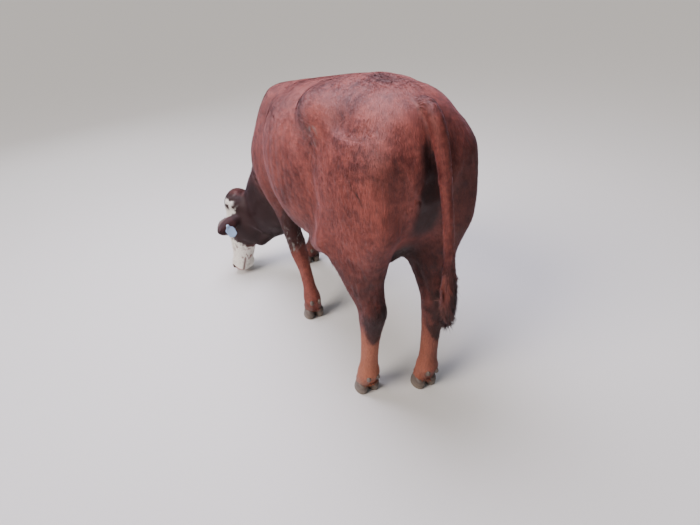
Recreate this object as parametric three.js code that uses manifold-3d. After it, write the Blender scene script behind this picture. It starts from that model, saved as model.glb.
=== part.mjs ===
// A beef heifer, grazing: head down and turned to its left, feet planted, tail hanging.
// Units are millimetres. +X is the way the trunk faces, +Y is the animal's left, +Z is up, and the
// soles stand on Z = 0. Every outline is the outside of the coat.
//
// The flesh is a field: lofts along the trunk, neck, head and limbs, and a few ellipsoids for the
// points of the skeleton, melted together by a smooth minimum. A tube is then stretched over each
// form by casting rays from its own centre line, and the tubes are cut against each other.

import * as THREE from 'three';
import { mergeVertices } from 'three/addons/utils/BufferGeometryUtils.js';
import Module from 'manifold-3d';

const wasm = await Module();
wasm.setup();

// ---------------------------------------------------------------- driving dimensions

const GAP = 0.35;                   // clearance wherever two pieces meet
const CENTRE = [158, 89.4];         // the middle of the animal's plan, moved onto the origin

// Trunk, from the rump forward: x, centre height, up, down, half width, squareness of the section.
const TRUNK = [
  [-705, 1060, 60, 100, 80, 2.2],
  [-660, 1050, 155, 190, 145, 2.2],
  [-580, 1020, 245, 270, 205, 2.2],
  [-440, 980, 300, 340, 224, 2.25],
  [-280, 940, 338, 365, 238, 2.3],
  [-100, 920, 330, 390, 268, 2.3],
  [100, 890, 325, 385, 282, 2.2],
  [280, 880, 300, 365, 262, 2.1],
  [440, 860, 285, 335, 228, 2.1],
  [560, 820, 255, 290, 190, 2.1],
  [660, 760, 180, 205, 140, 2.1],
  [730, 720, 90, 100, 80, 2.1],
];

// Limbs, from the top down: height, x centre, y centre, front, back, outer, inner.
const THIGH = [
  [1140, -460, 120, 160, 170, 90, 120],
  [980, -450, 150, 220, 240, 90, 120],
  [850, -430, 155, 225, 255, 86, 130],
  [750, -415, 155, 182, 225, 84, 120],
  [690, -425, 152, 140, 185, 76, 100],
  [645, -440, 150, 90, 130, 55, 70],
];
const HIND_LEG = [
  [780, -430, 150, 90, 110, 52, 62],
  [720, -430, 150, 112, 145, 68, 84],
  [660, -435, 150, 116, 160, 78, 92],
  [580, -475, 145, 95, 112, 72, 73],
  [520, -515, 140, 77, 88, 60, 58],
  [470, -545, 135, 65, 78, 53, 50],
  [420, -550, 135, 56, 62, 48, 46],
  [340, -550, 135, 44, 46, 40, 40],
  [240, -550, 135, 38, 41, 36, 36],
  [160, -548, 135, 40, 44, 38, 38],
  [120, -545, 135, 45, 54, 45, 45],
  [85, -535, 135, 43, 43, 45, 45],
  [40, -520, 135, 52, 42, 50, 50],
];
const SHOULDER = [
  [1100, 420, 90, 70, 70, 50, 50],
  [950, 460, 130, 130, 130, 80, 80],
  [820, 490, 155, 150, 150, 85, 90],
  [720, 470, 160, 140, 140, 85, 80],
  [660, 452, 160, 115, 115, 76, 70],
  [610, 440, 160, 76, 76, 52, 50],
];
const FORELEG = [
  [740, 455, 160, 76, 80, 50, 50],
  [690, 450, 160, 100, 100, 68, 62],
  [630, 438, 160, 98, 97, 72, 64],
  [560, 430, 160, 73, 75, 58, 52],
  [460, 440, 155, 52, 55, 48, 44],
  [380, 445, 150, 48, 46, 47, 44],
  [330, 445, 150, 46, 41, 45, 42],
  [260, 438, 150, 35, 37, 34, 34],
  [180, 437, 150, 34, 38, 33, 33],
  [120, 437, 150, 43, 50, 43, 43],
  [85, 447, 150, 43, 42, 44, 44],
  [40, 463, 150, 50, 42, 49, 49],
];
const LIMB_SQUARENESS = 2.15;
const STRIDE_TOP = 800;             // a limb leans from here down

// Where each foot stands, as a step forward and outward from under its limb.
const LIMBS = {
  hind_left: { side: 1, leg: HIND_LEG, haunch: THIGH, step: [110, -10] },
  hind_right: { side: -1, leg: HIND_LEG, haunch: THIGH, step: [20, -30] },
  fore_left: { side: 1, leg: FORELEG, haunch: SHOULDER, step: [-250, -30] },
  fore_right: { side: -1, leg: FORELEG, haunch: SHOULDER, step: [310, -60] },
};

// Neck, from inside the shoulders to inside the head: along, crest side, throat side, half width.
// Bones and soft parts that round the trunk out: centre, radii, fillet. The paired ones are given
// for the left side.
const SWELLS = {
  hook_bones: { at: [-250, 165, 1155], radii: [120, 65, 70], fillet: 100, paired: true },
  pin_bones: { at: [-630, 120, 1070], radii: [60, 70, 80], fillet: 80, paired: true },
  shoulder_blades: { at: [460, 75, 1020], radii: [120, 90, 110], fillet: 80, paired: true },
  shoulder_points: { at: [600, 130, 740], radii: [90, 80, 110], fillet: 80, paired: true },
  brisket: { at: [612, 5, 605], radii: [115, 92, 102], fillet: 100, paired: false },
  udder: { at: [-330, 10, 630], radii: [110, 90, 70], fillet: 60, paired: false },
};
// Folds of skin, as tapering rods: ends, radii, fillet.
const FOLDS = {
  flank_left: { from: [-330, 205, 705], to: [-150, 165, 610], radii: [52, 34], fillet: 95 },
  flank_right: { from: [-330, -205, 705], to: [-150, -165, 610], radii: [52, 34], fillet: 95 },
  throat: { from: [765, 205, 224], to: [680, 92, 346], radii: [36, 42], fillet: 95 },
  dewlap: { from: [680, 92, 346], to: [618, 20, 440], radii: [42, 56], fillet: 95 },
};
const TEATS = { at: [[-300, 38], [-300, -20], [-360, 38], [-360, -20]], top: 600, tip: 546, radii: [15, 9] };

const NECK_ROOT = [500, 0, 800];
const NECK_END = [790, 225, 360];
const CREST_HINT = [600, 100, 790];
const NECK = [
  [-160, 170, 250, 150],
  [0, 192, 265, 155],
  [160, 188, 250, 122],
  [320, 178, 225, 100],
  [460, 138, 180, 88],
  [560, 70, 100, 60],
];

const NECK_SQUARENESS = 2.1;
const NECK_FILLET = 120;
const HAUNCH_FILLET = 60;
const NECK_CUT = { point: [612, 62, 700], normal: [0.66, 0.30, -0.69] };   // where neck and trunk part

// Head, from the poll to the lips: along, centre, face side, jaw side, half width, squareness.
const POLL = [849, 272, 466];
const MUZZLE_WAY = [6, 10, -99];
const FACE_WAY = [55, 83, 5];
const HEAD = [
  [-42, -15, 35, 40, 45, 2.2],
  [-9, -10, 70, 85, 75, 2.3],
  [46, 0, 78, 105, 88, 2.3],
  [102, 0, 80, 118, 92, 2.4],
  [158, 0, 78, 122, 90, 2.4],
  [214, 0, 70, 110, 82, 2.4],
  [270, 0, 62, 90, 72, 2.4],
  [326, 0, 57, 74, 67, 2.3],
  [372, 0, 54, 65, 70, 2.4],
  [409, -2, 52, 60, 74, 2.4],
  [432, -4, 46, 51, 68, 2.4],
  [444, -6, 29, 34, 48, 2.3],
];

// Swellings of the head: along, to the face and to the side; radii; fillet.
const BROW = { at: [140, 44, 68], radii: [42, 30, 30], fillet: 35 };
const CHEEK = { at: [158, -45, 58], radii: [75, 70, 40], fillet: 40 };
const TOPKNOT = { at: [-2, 36, 0], radii: [54, 46, 74], fillet: 50 };

// Ears: along, half thickness, half width. The root is given along the head, to the face, to the side.
const EAR = [
  [0, 20, 24], [30, 18, 34], [65, 12, 46], [100, 10, 47], [140, 8, 34], [165, 6, 17], [175, 4, 6],
];
const EAR_ROOT = [80, -5, 78];
const EAR_CUP = 16;                 // how far the rims stand forward of the ear's middle
const EARS = {
  left: { side: 1, out: 0.92, fore: 0.30, down: 0.14, open: [-0.34, 0.70, 0.67] },
  right: { side: -1, out: 0.92, fore: 0.22, down: 0.34, open: [0, 0.62, 0.5] },
};

const EYE_AT = [138, 40];           // along the head and to the face
const EYE_RADIUS = 18;
const EYE_SHOWS = 7;                // how far the ball stands out of the head

// Tail, from its head to the tip of the switch: x, y, z, radius.
const TAIL = [
  [-560, 0, 1225, 30], [-640, -3, 1232, 34], [-695, -9, 1180, 35], [-722, -20, 1060, 32],
  [-734, -33, 900, 28], [-736, -43, 760, 27], [-730, -53, 640, 33], [-720, -61, 545, 35],
  [-712, -67, 485, 24], [-708, -70, 450, 6],
];

const CLAW = { length: 100, width: 49, height: 96, lean: 34, cleft: 5, taper: 0.80 };
const CORONET = { toe: 74, heel: 40 };    // height of the hair line over the toe and over the heel
const DEWCLAW = { height: 106, size: [15, 11, 19], spread: 20, sunk: 0.88, tilt: -0.55 };

const TAG = { width: 64, length: 78, neck: 19, shoulder: 26, thickness: 2.4, along: 104, off: 1 };
const STUD = { radius: 9, thickness: 5 };

// How finely each form is cut: points round a section, and how far its rays may run.
const SIDES = { body: 32, head: 22, leg: 12, tail: 9, ear: 12, claw: 14, dewclaw: 8, teat: 8 };
const REACH = { body: 480, head: 200, leg: 260, teat: 40, eye: 150 };

// ---------------------------------------------------------------- colours

const MATERIALS = {
  coat: new THREE.MeshStandardMaterial({ color: 0x7a3a28, roughness: 0.85, metalness: 0 }),
  pale_coat: new THREE.MeshStandardMaterial({ color: 0xd9c7b0, roughness: 0.85, metalness: 0 }),
  horn: new THREE.MeshStandardMaterial({ color: 0x4a3a30, roughness: 0.6, metalness: 0 }),
  eye: new THREE.MeshStandardMaterial({ color: 0x1c120d, roughness: 0.1, metalness: 0 }),
  tag: new THREE.MeshStandardMaterial({ color: 0xc9ced6, roughness: 0.5, metalness: 0 }),
};

// ---------------------------------------------------------------- small vectors

const add = (a, b, k = 1) => [a[0] + b[0] * k, a[1] + b[1] * k, a[2] + b[2] * k];
const dot = (a, b) => a[0] * b[0] + a[1] * b[1] + a[2] * b[2];
const cross = (a, b) => [
  a[1] * b[2] - a[2] * b[1], a[2] * b[0] - a[0] * b[2], a[0] * b[1] - a[1] * b[0],
];
const unit = (a) => add([0, 0, 0], a, 1 / Math.hypot(...a));
const smooth = (t) => {
  const c = Math.min(Math.max(t, 0), 1);
  return c * c * (3 - 2 * c);
};

/** Axes at a point: along, then up as near the hint as it can be, then side = along x up. */
function axes(origin, along, hint) {
  const s = unit(along);
  const u = unit(add(hint, s, -dot(hint, s)));
  return { origin, s, u, v: cross(s, u) };
}
const place = (f, a, b, c) => add(add(add(f.origin, f.s, a), f.u, b), f.v, c);
const local = (f, p) => {
  const d = add(p, f.origin, -1);
  return [dot(d, f.s), dot(d, f.u), dot(d, f.v)];
};

// ---------------------------------------------------------------- fields (negative inside)

/** Cubic curve through a table's rows: column 0 is the position, and it never overshoots. */
function readTable(table, at) {
  const last = table.length - 1;
  const x = Math.min(Math.max(at, table[0][0]), table[last][0]);
  let i = 0;
  while (i < last - 1 && x > table[i + 1][0]) i += 1;
  const slope = (j, c) => (table[j + 1][c] - table[j][c]) / (table[j + 1][0] - table[j][0]);
  const tangent = (j, c) => {
    if (j === 0) return slope(0, c);
    if (j === last) return slope(last - 1, c);
    const before = slope(j - 1, c);
    const after = slope(j, c);
    if (before * after <= 0) return 0;
    const w = (table[j + 1][0] - table[j][0]) / (table[j + 1][0] - table[j - 1][0]);
    return before * w + after * (1 - w);
  };
  const h = table[i + 1][0] - table[i][0];
  const t = (x - table[i][0]) / h;
  return table[0].map((_, c) => table[i][c] * (1 + 2 * t) * (1 - t) ** 2
    + table[i + 1][c] * t * t * (3 - 2 * t)
    + h * (tangent(i, c) * t * (1 - t) ** 2 - tangent(i + 1, c) * t * t * (1 - t)));
}

/** Distance to a loft: each section is two half super-ellipses about its own centre. */
function loft(frame, table) {
  const rows = [...table].sort((a, b) => a[0] - b[0]);
  const first = rows[0][0];
  const end = rows[rows.length - 1][0];
  return (p) => {
    const [s, a, b] = local(frame, p);
    const [, cu, cv, up, down, plus, minus, n] = readTable(rows, s);
    const du = a - cu;
    const dv = b - cv;
    const ru = du > 0 ? up : down;
    const rv = dv > 0 ? plus : minus;
    const rho = (Math.abs(du / ru) ** n + Math.abs(dv / rv) ** n) ** (1 / n);
    const inner = -Math.min(ru, rv);
    const f = rho > 1e-6 ? Math.max(Math.hypot(du, dv) * (1 - 1 / rho), inner) : inner;
    const over = Math.max(first - s, s - end);
    return over > 0 ? Math.hypot(Math.max(f, 0), over) : Math.max(f, over);
  };
}

/** Distance to an ellipsoid whose radii run along a frame's axes. */
function ellipsoid(frame, radii) {
  return (p) => {
    const q = local(frame, p);
    const k0 = Math.hypot(q[0] / radii[0], q[1] / radii[1], q[2] / radii[2]);
    const k1 = Math.hypot(q[0] / radii[0] ** 2, q[1] / radii[1] ** 2, q[2] / radii[2] ** 2);
    return k1 > 1e-9 ? (k0 * (k0 - 1)) / k1 : -Math.min(...radii);
  };
}

/** Distance to a tapering rod with round ends. */
function rod(a, b, ra, rb) {
  const d = add(b, a, -1);
  return (p) => {
    const t = Math.min(Math.max(dot(add(p, a, -1), d) / dot(d, d), 0), 1);
    return Math.hypot(...add(p, add(a, d, t), -1)) - (ra + (rb - ra) * t);
  };
}

/** Several fields melted into one; each comes with the width of its own fillet. */
function melt(first, ...others) {
  return (p) => others.reduce((f, [field, k]) => {
    const g = field(p);
    const h = Math.max(k - Math.abs(f - g), 0) / k;
    return Math.min(f, g) - (h * h * k) / 4;
  }, first(p));
}

// ---------------------------------------------------------------- the animal's forms

const WORLD = { origin: [0, 0, 0], s: [1, 0, 0], u: [0, 1, 0], v: [0, 0, 1] };
const FORWARD = axes([0, 0, 0], [1, 0, 0], [0, 0, 1]);
const UPWARD = axes([0, 0, 0], [0, 0, 1], [1, 0, 0]);
const at = (x, y, z) => ({ ...WORLD, origin: [x, y, z] });
const both = (make) => [1, -1].map(make);

const neckAxes = axes(NECK_ROOT, add(NECK_END, NECK_ROOT, -1), CREST_HINT);
const headAxes = axes(POLL, MUZZLE_WAY, FACE_WAY);
const headLeft = add([0, 0, 0], headAxes.v, -1);

/** A limb's table as a field: mirrored for the right side, and leaning out to where the foot stands. */
function limb({ side, step }, table) {
  const shape = loft(UPWARD, table.map(([z, x, y, front, back, outer, inner]) => (
    [z, x, y, front, back, outer, inner, LIMB_SQUARENESS])));
  return (p) => {
    const lean = smooth((STRIDE_TOP - p[2]) / STRIDE_TOP);
    return shape([p[0] - lean * step[0], p[1] * side - lean * step[1], p[2]]);
  };
}

const swell = ({ at: centre, radii, fillet }, side = 1) => [
  ellipsoid(at(centre[0], centre[1] * side, centre[2]), radii), fillet];

const trunkField = melt(
  loft(FORWARD, TRUNK.map(([x, z, up, down, w, n]) => [x, z, 0, up, down, w, w, n])),
  [loft(neckAxes, NECK.map(([s, up, down, w]) => [s, 0, 0, up, down, w, w, NECK_SQUARENESS])), NECK_FILLET],
  ...Object.values(SWELLS).flatMap((form) => (
    form.paired ? both((side) => swell(form, side)) : [swell(form)])),
  ...Object.values(FOLDS).map(({ from, to, radii, fillet }) => [rod(from, to, ...radii), fillet]),
  ...Object.values(LIMBS).map((l) => [limb(l, l.haunch), HAUNCH_FILLET]),
);

/** A swelling of the head, given along it, to the face and to one side. */
const lump = ({ at: [along, up, across], radii, fillet }, side = 1) => [
  ellipsoid({ ...headAxes, origin: place(headAxes, along, up, across * side) }, radii), fillet];

const headField = melt(
  loft(headAxes, HEAD.map(([s, c, up, down, w, n]) => [s, c, 0, up, down, w, w, n])),
  ...both((side) => lump(BROW, side)),
  ...both((side) => lump(CHEEK, side)),
  lump(TOPKNOT),
);

// ---------------------------------------------------------------- meshes

/** A closed mesh of rings, each [points], with a pole before the first and one after the last. */
function ringMesh(rings, start, end) {
  const sides = rings[0].length;
  const points = [start, ...rings.flat(), end];
  const faces = [];
  const id = (r, k) => 1 + r * sides + (k % sides);
  for (let k = 0; k < sides; k += 1) {
    faces.push([0, id(0, k + 1), id(0, k)]);
    for (let r = 0; r + 1 < rings.length; r += 1) {
      faces.push([id(r, k), id(r, k + 1), id(r + 1, k + 1)], [id(r, k), id(r + 1, k + 1), id(r + 1, k)]);
    }
    faces.push([id(rings.length - 1, k), id(rings.length - 1, k + 1), points.length - 1]);
  }
  return solid(points, faces);
}

function solid(points, faces) {
  const geometry = new THREE.BufferGeometry();
  geometry.setAttribute('position', new THREE.Float32BufferAttribute(points.flat(), 3));
  geometry.setIndex(faces.flat());
  return toManifold(geometry);
}

function toManifold(source) {
  const geometry = source.clone();
  geometry.deleteAttribute('normal');
  geometry.deleteAttribute('uv');
  const merged = mergeVertices(geometry, 1e-4);
  const made = new wasm.Manifold(new wasm.Mesh({
    numProp: 3,
    vertProperties: new Float32Array(merged.attributes.position.array),
    triVerts: new Uint32Array(merged.index.array),
  }));
  if (made.volume() < 0) throw new Error('a solid is inside out');
  return made;
}

/** How far a ray runs from inside a field to its surface, no further than reach. */
function cast(field, from, way, reach) {
  const step = 12;
  let r = 0;
  while (r < reach && field(add(from, way, r + step)) < 0) r += step;
  let low = r;
  let high = r + step;
  for (let i = 0; i < 14; i += 1) {
    const middle = (low + high) / 2;
    if (field(add(from, way, middle)) < 0) low = middle;
    else high = middle;
  }
  return low;
}

/**
 * A tube stretched over a field. Each station has axes whose s points along the tube; rays leave
 * its origin in the plane of u and v. The ends close on the surface beyond the last stations.
 */
function tube(field, stations, sides, reach, grow = 0) {
  const rings = stations.map((f) => Array.from({ length: sides }, (_, k) => {
    const a = (2 * Math.PI * k) / sides;
    const way = add(add([0, 0, 0], f.u, Math.cos(a)), f.v, Math.sin(a));
    return add(f.origin, way, cast(field, f.origin, way, reach) + grow);
  }));
  const tip = (f, sign) => {
    const way = add([0, 0, 0], f.s, sign);
    return add(f.origin, way, cast(field, f.origin, way, reach) + grow);
  };
  return ringMesh(rings, tip(stations[0], -1), tip(stations[stations.length - 1], 1));
}

/** Everything on one side of a plane through a point, as a large box. */
function halfSpace(point, normal) {
  const size = 4000;
  const box = new THREE.BoxGeometry(size, size, size);
  const turn = new THREE.Quaternion().setFromUnitVectors(
    new THREE.Vector3(0, 0, 1), new THREE.Vector3(...unit(normal)));
  const centre = add(point, unit(normal), size / 2);
  box.applyMatrix4(new THREE.Matrix4().compose(
    new THREE.Vector3(...centre), turn, new THREE.Vector3(1, 1, 1)));
  return toManifold(box);
}

const spread = (count, from, to, make) => Array.from({ length: count }, (_, i) => (
  make(from + ((to - from) * i) / (count - 1))));

// ---------------------------------------------------------------- trunk and neck

/** Centre line of the trunk, then a bend into the neck, as axes that turn steadily. */
function bodyStations() {
  const trunk = spread(23, -698, 205, (x) => {
    const [, z] = readTable(TRUNK, x);
    return axes([x, 0, z - 10], [1, 0, 0], [0, 0, 1]);
  });
  const bend = new THREE.CubicBezierCurve3(
    new THREE.Vector3(250, 0, 875), new THREE.Vector3(500, 0, 850),
    new THREE.Vector3(640, 95, 610), new THREE.Vector3(...NECK_END));
  const neck = spread(15, 0, 1, (t) => axes(
    bend.getPoint(t).toArray(), bend.getTangent(t).toArray(), [t, 0.2 * t, 1]));
  return [...trunk, ...neck];
}

const body = tube(trunkField, bodyStations(), SIDES.body, REACH.body);
const teats = TEATS.at.map(([x, y]) => tube(rod([x, y, TEATS.top], [x, y, TEATS.tip], ...TEATS.radii),
  spread(4, TEATS.top, TEATS.tip, (z) => axes([x, y, z], [0, 0, -1], [1, 0, 0])), SIDES.teat, REACH.teat));

// ---------------------------------------------------------------- head, ears, eyes

const headStations = spread(19, -40, 438, (s) => {
  const [, c, up, down] = readTable(HEAD, s);
  return { ...headAxes, origin: place(headAxes, s, c + (up - down) / 2, 0) };
});
const headSolid = tube(headField, headStations, SIDES.head, REACH.head);
const headGrown = tube(headField, headStations, SIDES.head, REACH.head, GAP);

function ball(centre, radius) {
  const sphere = new THREE.SphereGeometry(radius, 12, 8);
  sphere.translate(...centre);
  return toManifold(sphere);
}

function earAxes({ side, out, fore, down, open }) {
  const left = add([0, 0, 0], headLeft, side);
  const mix = (a, b, c) => add(add(add([0, 0, 0], left, a), headAxes.u, b), headAxes.s, c);
  const root = add(place(headAxes, EAR_ROOT[0], EAR_ROOT[1], 0), left, EAR_ROOT[2]);
  return axes(root, mix(out, fore, down), mix(...open));
}

/** An ear is a leaf that cups: its middle line stays, and its rims come forward. */
function ear(frame) {
  const rings = EAR.map(([s, thick, wide]) => Array.from({ length: SIDES.ear }, (_, k) => {
    const a = (2 * Math.PI * k) / SIDES.ear;
    const across = wide * Math.sin(a);
    const cup = EAR_CUP * (Math.sin(a) ** 2) * Math.min(s / 60, 1) * (wide / 47);
    return place(frame, s, thick * Math.cos(a) + cup, across);
  }));
  return ringMesh(rings, place(frame, -6, 0, 0), place(frame, EAR[EAR.length - 1][0] + 4, 0, 0));
}

// ---------------------------------------------------------------- limbs

function legStations({ side, leg, step }) {
  const low = leg[leg.length - 1][0];
  const high = leg[0][0] - 15;
  return spread(19, 0, 1, (t) => {
    const z = low + (high - low) * t ** 1.25;
    const [, x, y] = readTable([...leg].reverse(), z);
    const lean = smooth((STRIDE_TOP - z) / STRIDE_TOP);
    return axes([x + lean * step[0], (y + lean * step[1]) * side, z + 2], [0, 0, 1], [1, 0, 0]);
  });
}

/** The foot's place on the floor, and the plane of the hair line above the claws. */
function foot({ side, leg, step }) {
  const [, x, y] = leg[leg.length - 1];
  const centre = [x + step[0], (y + step[1]) * side, 0];
  const rise = CORONET.toe - CORONET.heel;
  const toe = CLAW.length * 0.52;
  return {
    centre,
    onCoronet: [centre[0] + toe, centre[1], CORONET.toe],
    normal: [-rise, 0, CLAW.length],
  };
}

/** A claw: a sole with a straight inner side and a bowed outer one, rising and leaning back. */
function claw(centre, outward) {
  const ring = (z) => {
    const t = z / CLAW.height;
    const k = 1 - (1 - CLAW.taper) * t;
    const lean = -CLAW.lean * t;
    return Array.from({ length: SIDES.claw }, (_, i) => {
      const a = (2 * Math.PI * i) / SIDES.claw;
      const toe = Math.cos(a) > 0 ? 0.58 : 0.42;
      const along = CLAW.length * toe * Math.sign(Math.cos(a)) * Math.abs(Math.cos(a)) ** 0.9 * k;
      const bow = (0.5 + 0.5 * Math.sin(a)) * (1 - 0.35 * Math.max(Math.cos(a), 0) ** 2);
      const across = CLAW.cleft / 2 + CLAW.width * bow * k;
      return [centre[0] + along + lean, centre[1] + across * outward, z];
    });
  };
  const heights = [0, 10, 50, CLAW.height];
  const rings = heights.map(ring).map((r) => (outward > 0 ? r : [...r].reverse()));
  const middle = (z) => {
    const t = z / CLAW.height;
    return [centre[0] - CLAW.lean * t, centre[1] + (CLAW.cleft / 2 + CLAW.width / 2) * outward, z];
  };
  return ringMesh(rings, middle(0), middle(CLAW.height));
}

/** A dewclaw: a blunt lump on the back of the pastern, to one side of its middle. */
function dewclaw({ side, leg, step }, outward) {
  const [, x, y, , back] = readTable([...leg].reverse(), DEWCLAW.height);
  const lean = smooth((STRIDE_TOP - DEWCLAW.height) / STRIDE_TOP);
  const horn = new THREE.SphereGeometry(1, SIDES.dewclaw, 6);
  horn.scale(...DEWCLAW.size);
  horn.rotateY(DEWCLAW.tilt);
  horn.translate(
    x + lean * step[0] - back * DEWCLAW.sunk,
    (y + lean * step[1]) * side + DEWCLAW.spread * outward,
    DEWCLAW.height);
  return toManifold(horn);
}

// ---------------------------------------------------------------- tail

function tailSolid(grow = 0) {
  const line = new THREE.CatmullRomCurve3(TAIL.map(([x, y, z]) => new THREE.Vector3(x, y, z)));
  const radii = TAIL.map(([, , , r], i) => [i / (TAIL.length - 1), r]);
  const rings = spread(24, 0, 1, (t) => {
    const f = axes(line.getPoint(t).toArray(), line.getTangent(t).toArray(), [0, 1, 0]);
    const [, r] = readTable(radii, t);
    return Array.from({ length: SIDES.tail }, (_, k) => {
      const a = (2 * Math.PI * k) / SIDES.tail;
      return place(f, 0, (r + grow) * Math.cos(a), (r + grow) * Math.sin(a));
    });
  });
  const ends = [TAIL[0], TAIL[TAIL.length - 1]].map(([x, y, z]) => [x, y, z]);
  return ringMesh(rings, add(ends[0], [4, 0, 0]), add(ends[1], [0, 0, -3]));
}

// ---------------------------------------------------------------- ear tag

/** A flag: a narrow neck that widens by sloping shoulders into a plate with a pointed foot. */
function tagSolids(earFrame) {
  const { width, length, neck, shoulder, thickness } = TAG;
  const outline = new THREE.Shape();
  outline.moveTo(-neck / 2, 0);
  outline.lineTo(-neck / 2, -10);
  outline.lineTo(-width / 2, -shoulder);
  outline.lineTo(-width / 2 + 3, -length + 12);
  outline.lineTo(0, -length);
  outline.lineTo(width / 2 - 3, -length + 12);
  outline.lineTo(width / 2, -shoulder);
  outline.lineTo(neck / 2, -10);
  outline.lineTo(neck / 2, 0);
  const flag = new THREE.ExtrudeGeometry(outline, { depth: thickness, bevelEnabled: false });
  const back = add([0, 0, 0], earFrame.u, -1);
  const hang = unit(add([0, 0, -1], back, back[2]));
  const across = cross(back, hang);
  const [, halfThick] = readTable(EAR, TAG.along);
  const pin = add(place(earFrame, TAG.along, -halfThick - TAG.off, 0), back, GAP);
  const turn = new THREE.Matrix4().makeBasis(
    new THREE.Vector3(...across), new THREE.Vector3(...hang).negate(), new THREE.Vector3(...back));
  turn.setPosition(new THREE.Vector3(...add(pin, hang, -6)));
  flag.applyMatrix4(turn);
  const button = new THREE.CylinderGeometry(STUD.radius, STUD.radius, STUD.thickness, 16);
  button.rotateX(Math.PI / 2);
  button.translate(0, -STUD.radius + 3, thickness + GAP + STUD.thickness / 2);
  button.applyMatrix4(turn);
  return { flag: toManifold(flag), button: toManifold(button) };
}

// ---------------------------------------------------------------- assembly

const pieces = {};

const ahead = halfSpace(NECK_CUT.point, NECK_CUT.normal);
const behindCut = halfSpace(
  add(NECK_CUT.point, unit(NECK_CUT.normal), GAP), add([0, 0, 0], NECK_CUT.normal, -1));
const tailGrown = tailSolid(GAP);
const bodyWithTeats = teats.reduce((whole, teat) => whole.add(teat), body);
pieces.trunk = [bodyWithTeats.subtract(ahead).subtract(tailGrown), 'coat'];
pieces.neck = [body.subtract(behindCut).subtract(headGrown), 'coat'];
pieces.tail = [tailSolid(), 'coat'];

const eyes = both((side) => {
  const inside = place(headAxes, EYE_AT[0], EYE_AT[1], 0);
  const outward = add([0, 0, 0], headLeft, side);
  return add(inside, outward, cast(headField, inside, outward, REACH.eye) + EYE_SHOWS - EYE_RADIUS);
});
const sockets = eyes.map((centre) => ball(centre, EYE_RADIUS + GAP));
pieces.head = [sockets.reduce((whole, socket) => whole.subtract(socket), headSolid), 'pale_coat'];
['left', 'right'].forEach((name, i) => {
  pieces[`eye_${name}`] = [ball(eyes[i], EYE_RADIUS), 'eye'];
  pieces[`ear_${name}`] = [ear(earAxes(EARS[name])).subtract(headGrown), 'coat'];
});

const bodyGrown = tube(trunkField, bodyStations(), SIDES.body, REACH.body, GAP);
Object.entries(LIMBS).forEach(([name, spec]) => {
  const { centre, onCoronet, normal } = foot(spec);
  const field = limb(spec, spec.leg);
  const underHair = halfSpace(onCoronet, add([0, 0, 0], normal, -1));
  const overHoof = halfSpace(add(onCoronet, unit(normal), -GAP), normal);
  pieces[`leg_${name}`] = [
    tube(field, legStations(spec), SIDES.leg, REACH.leg).subtract(bodyGrown).subtract(underHair), 'coat'];
  const legGrown = tube(field, legStations(spec), SIDES.leg, REACH.leg, GAP);
  [['outer', spec.side], ['inner', -spec.side]].forEach(([which, outward]) => {
    pieces[`claw_${name}_${which}`] = [claw(centre, outward).subtract(overHoof), 'horn'];
    pieces[`dewclaw_${name}_${which}`] = [dewclaw(spec, outward).subtract(legGrown), 'horn'];
  });
});

const { flag, button } = tagSolids(earAxes(EARS.left));
pieces.ear_tag = [flag, 'tag'];
pieces.ear_tag_stud = [button, 'tag'];

const heifer = new THREE.Group();
Object.entries(pieces).forEach(([name, [shape, finish]]) => {
  const { numProp, vertProperties, triVerts } = shape.getMesh();
  if (numProp !== 3) throw new Error(`${name} carries more than positions`);
  const geometry = new THREE.BufferGeometry();
  geometry.setAttribute('position', new THREE.BufferAttribute(new Float32Array(vertProperties), 3));
  geometry.setIndex(new THREE.BufferAttribute(new Uint32Array(triVerts), 1));
  geometry.computeVertexNormals();
  const mesh = new THREE.Mesh(geometry, MATERIALS[finish].clone());
  mesh.name = name;
  heifer.add(mesh);
});
heifer.position.set(-CENTRE[0], -CENTRE[1], 0);

export default heifer;
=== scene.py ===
"""A life-size, museum-like model of a grazing beef heifer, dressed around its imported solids.

The animal is one continuous skin worked out from the same forms as its solids, with short coat laid
over it as tufts, and eyes, claws, dewclaws and the ear tag as pieces of their own.
Lengths in the tables are millimetres in the animal's own axes: +X the way the trunk faces, +Y its
left, +Z up. Finished pieces are metres in the frame of the solids.
"""

import math

import bmesh
import bpy
import numpy as np
from mathutils import Matrix, Vector


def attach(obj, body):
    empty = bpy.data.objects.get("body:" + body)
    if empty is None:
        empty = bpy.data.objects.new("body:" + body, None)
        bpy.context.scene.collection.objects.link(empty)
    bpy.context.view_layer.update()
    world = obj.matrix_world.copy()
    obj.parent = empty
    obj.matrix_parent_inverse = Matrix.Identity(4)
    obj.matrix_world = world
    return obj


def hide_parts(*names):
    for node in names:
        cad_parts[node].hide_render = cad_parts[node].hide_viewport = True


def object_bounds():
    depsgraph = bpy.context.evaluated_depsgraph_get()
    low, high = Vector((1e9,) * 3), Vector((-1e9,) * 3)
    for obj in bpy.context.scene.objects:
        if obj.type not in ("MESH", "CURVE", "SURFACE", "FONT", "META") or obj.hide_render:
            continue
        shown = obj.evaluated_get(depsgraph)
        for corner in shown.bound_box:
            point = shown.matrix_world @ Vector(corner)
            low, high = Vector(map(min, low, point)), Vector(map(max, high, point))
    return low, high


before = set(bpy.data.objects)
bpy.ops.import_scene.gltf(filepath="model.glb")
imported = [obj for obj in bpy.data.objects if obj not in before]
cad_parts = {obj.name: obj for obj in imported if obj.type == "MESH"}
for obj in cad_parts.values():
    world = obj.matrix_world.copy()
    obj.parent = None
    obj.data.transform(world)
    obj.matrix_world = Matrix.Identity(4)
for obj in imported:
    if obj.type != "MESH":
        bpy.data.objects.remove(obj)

CAD_BOX = [list(corner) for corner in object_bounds()]

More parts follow.
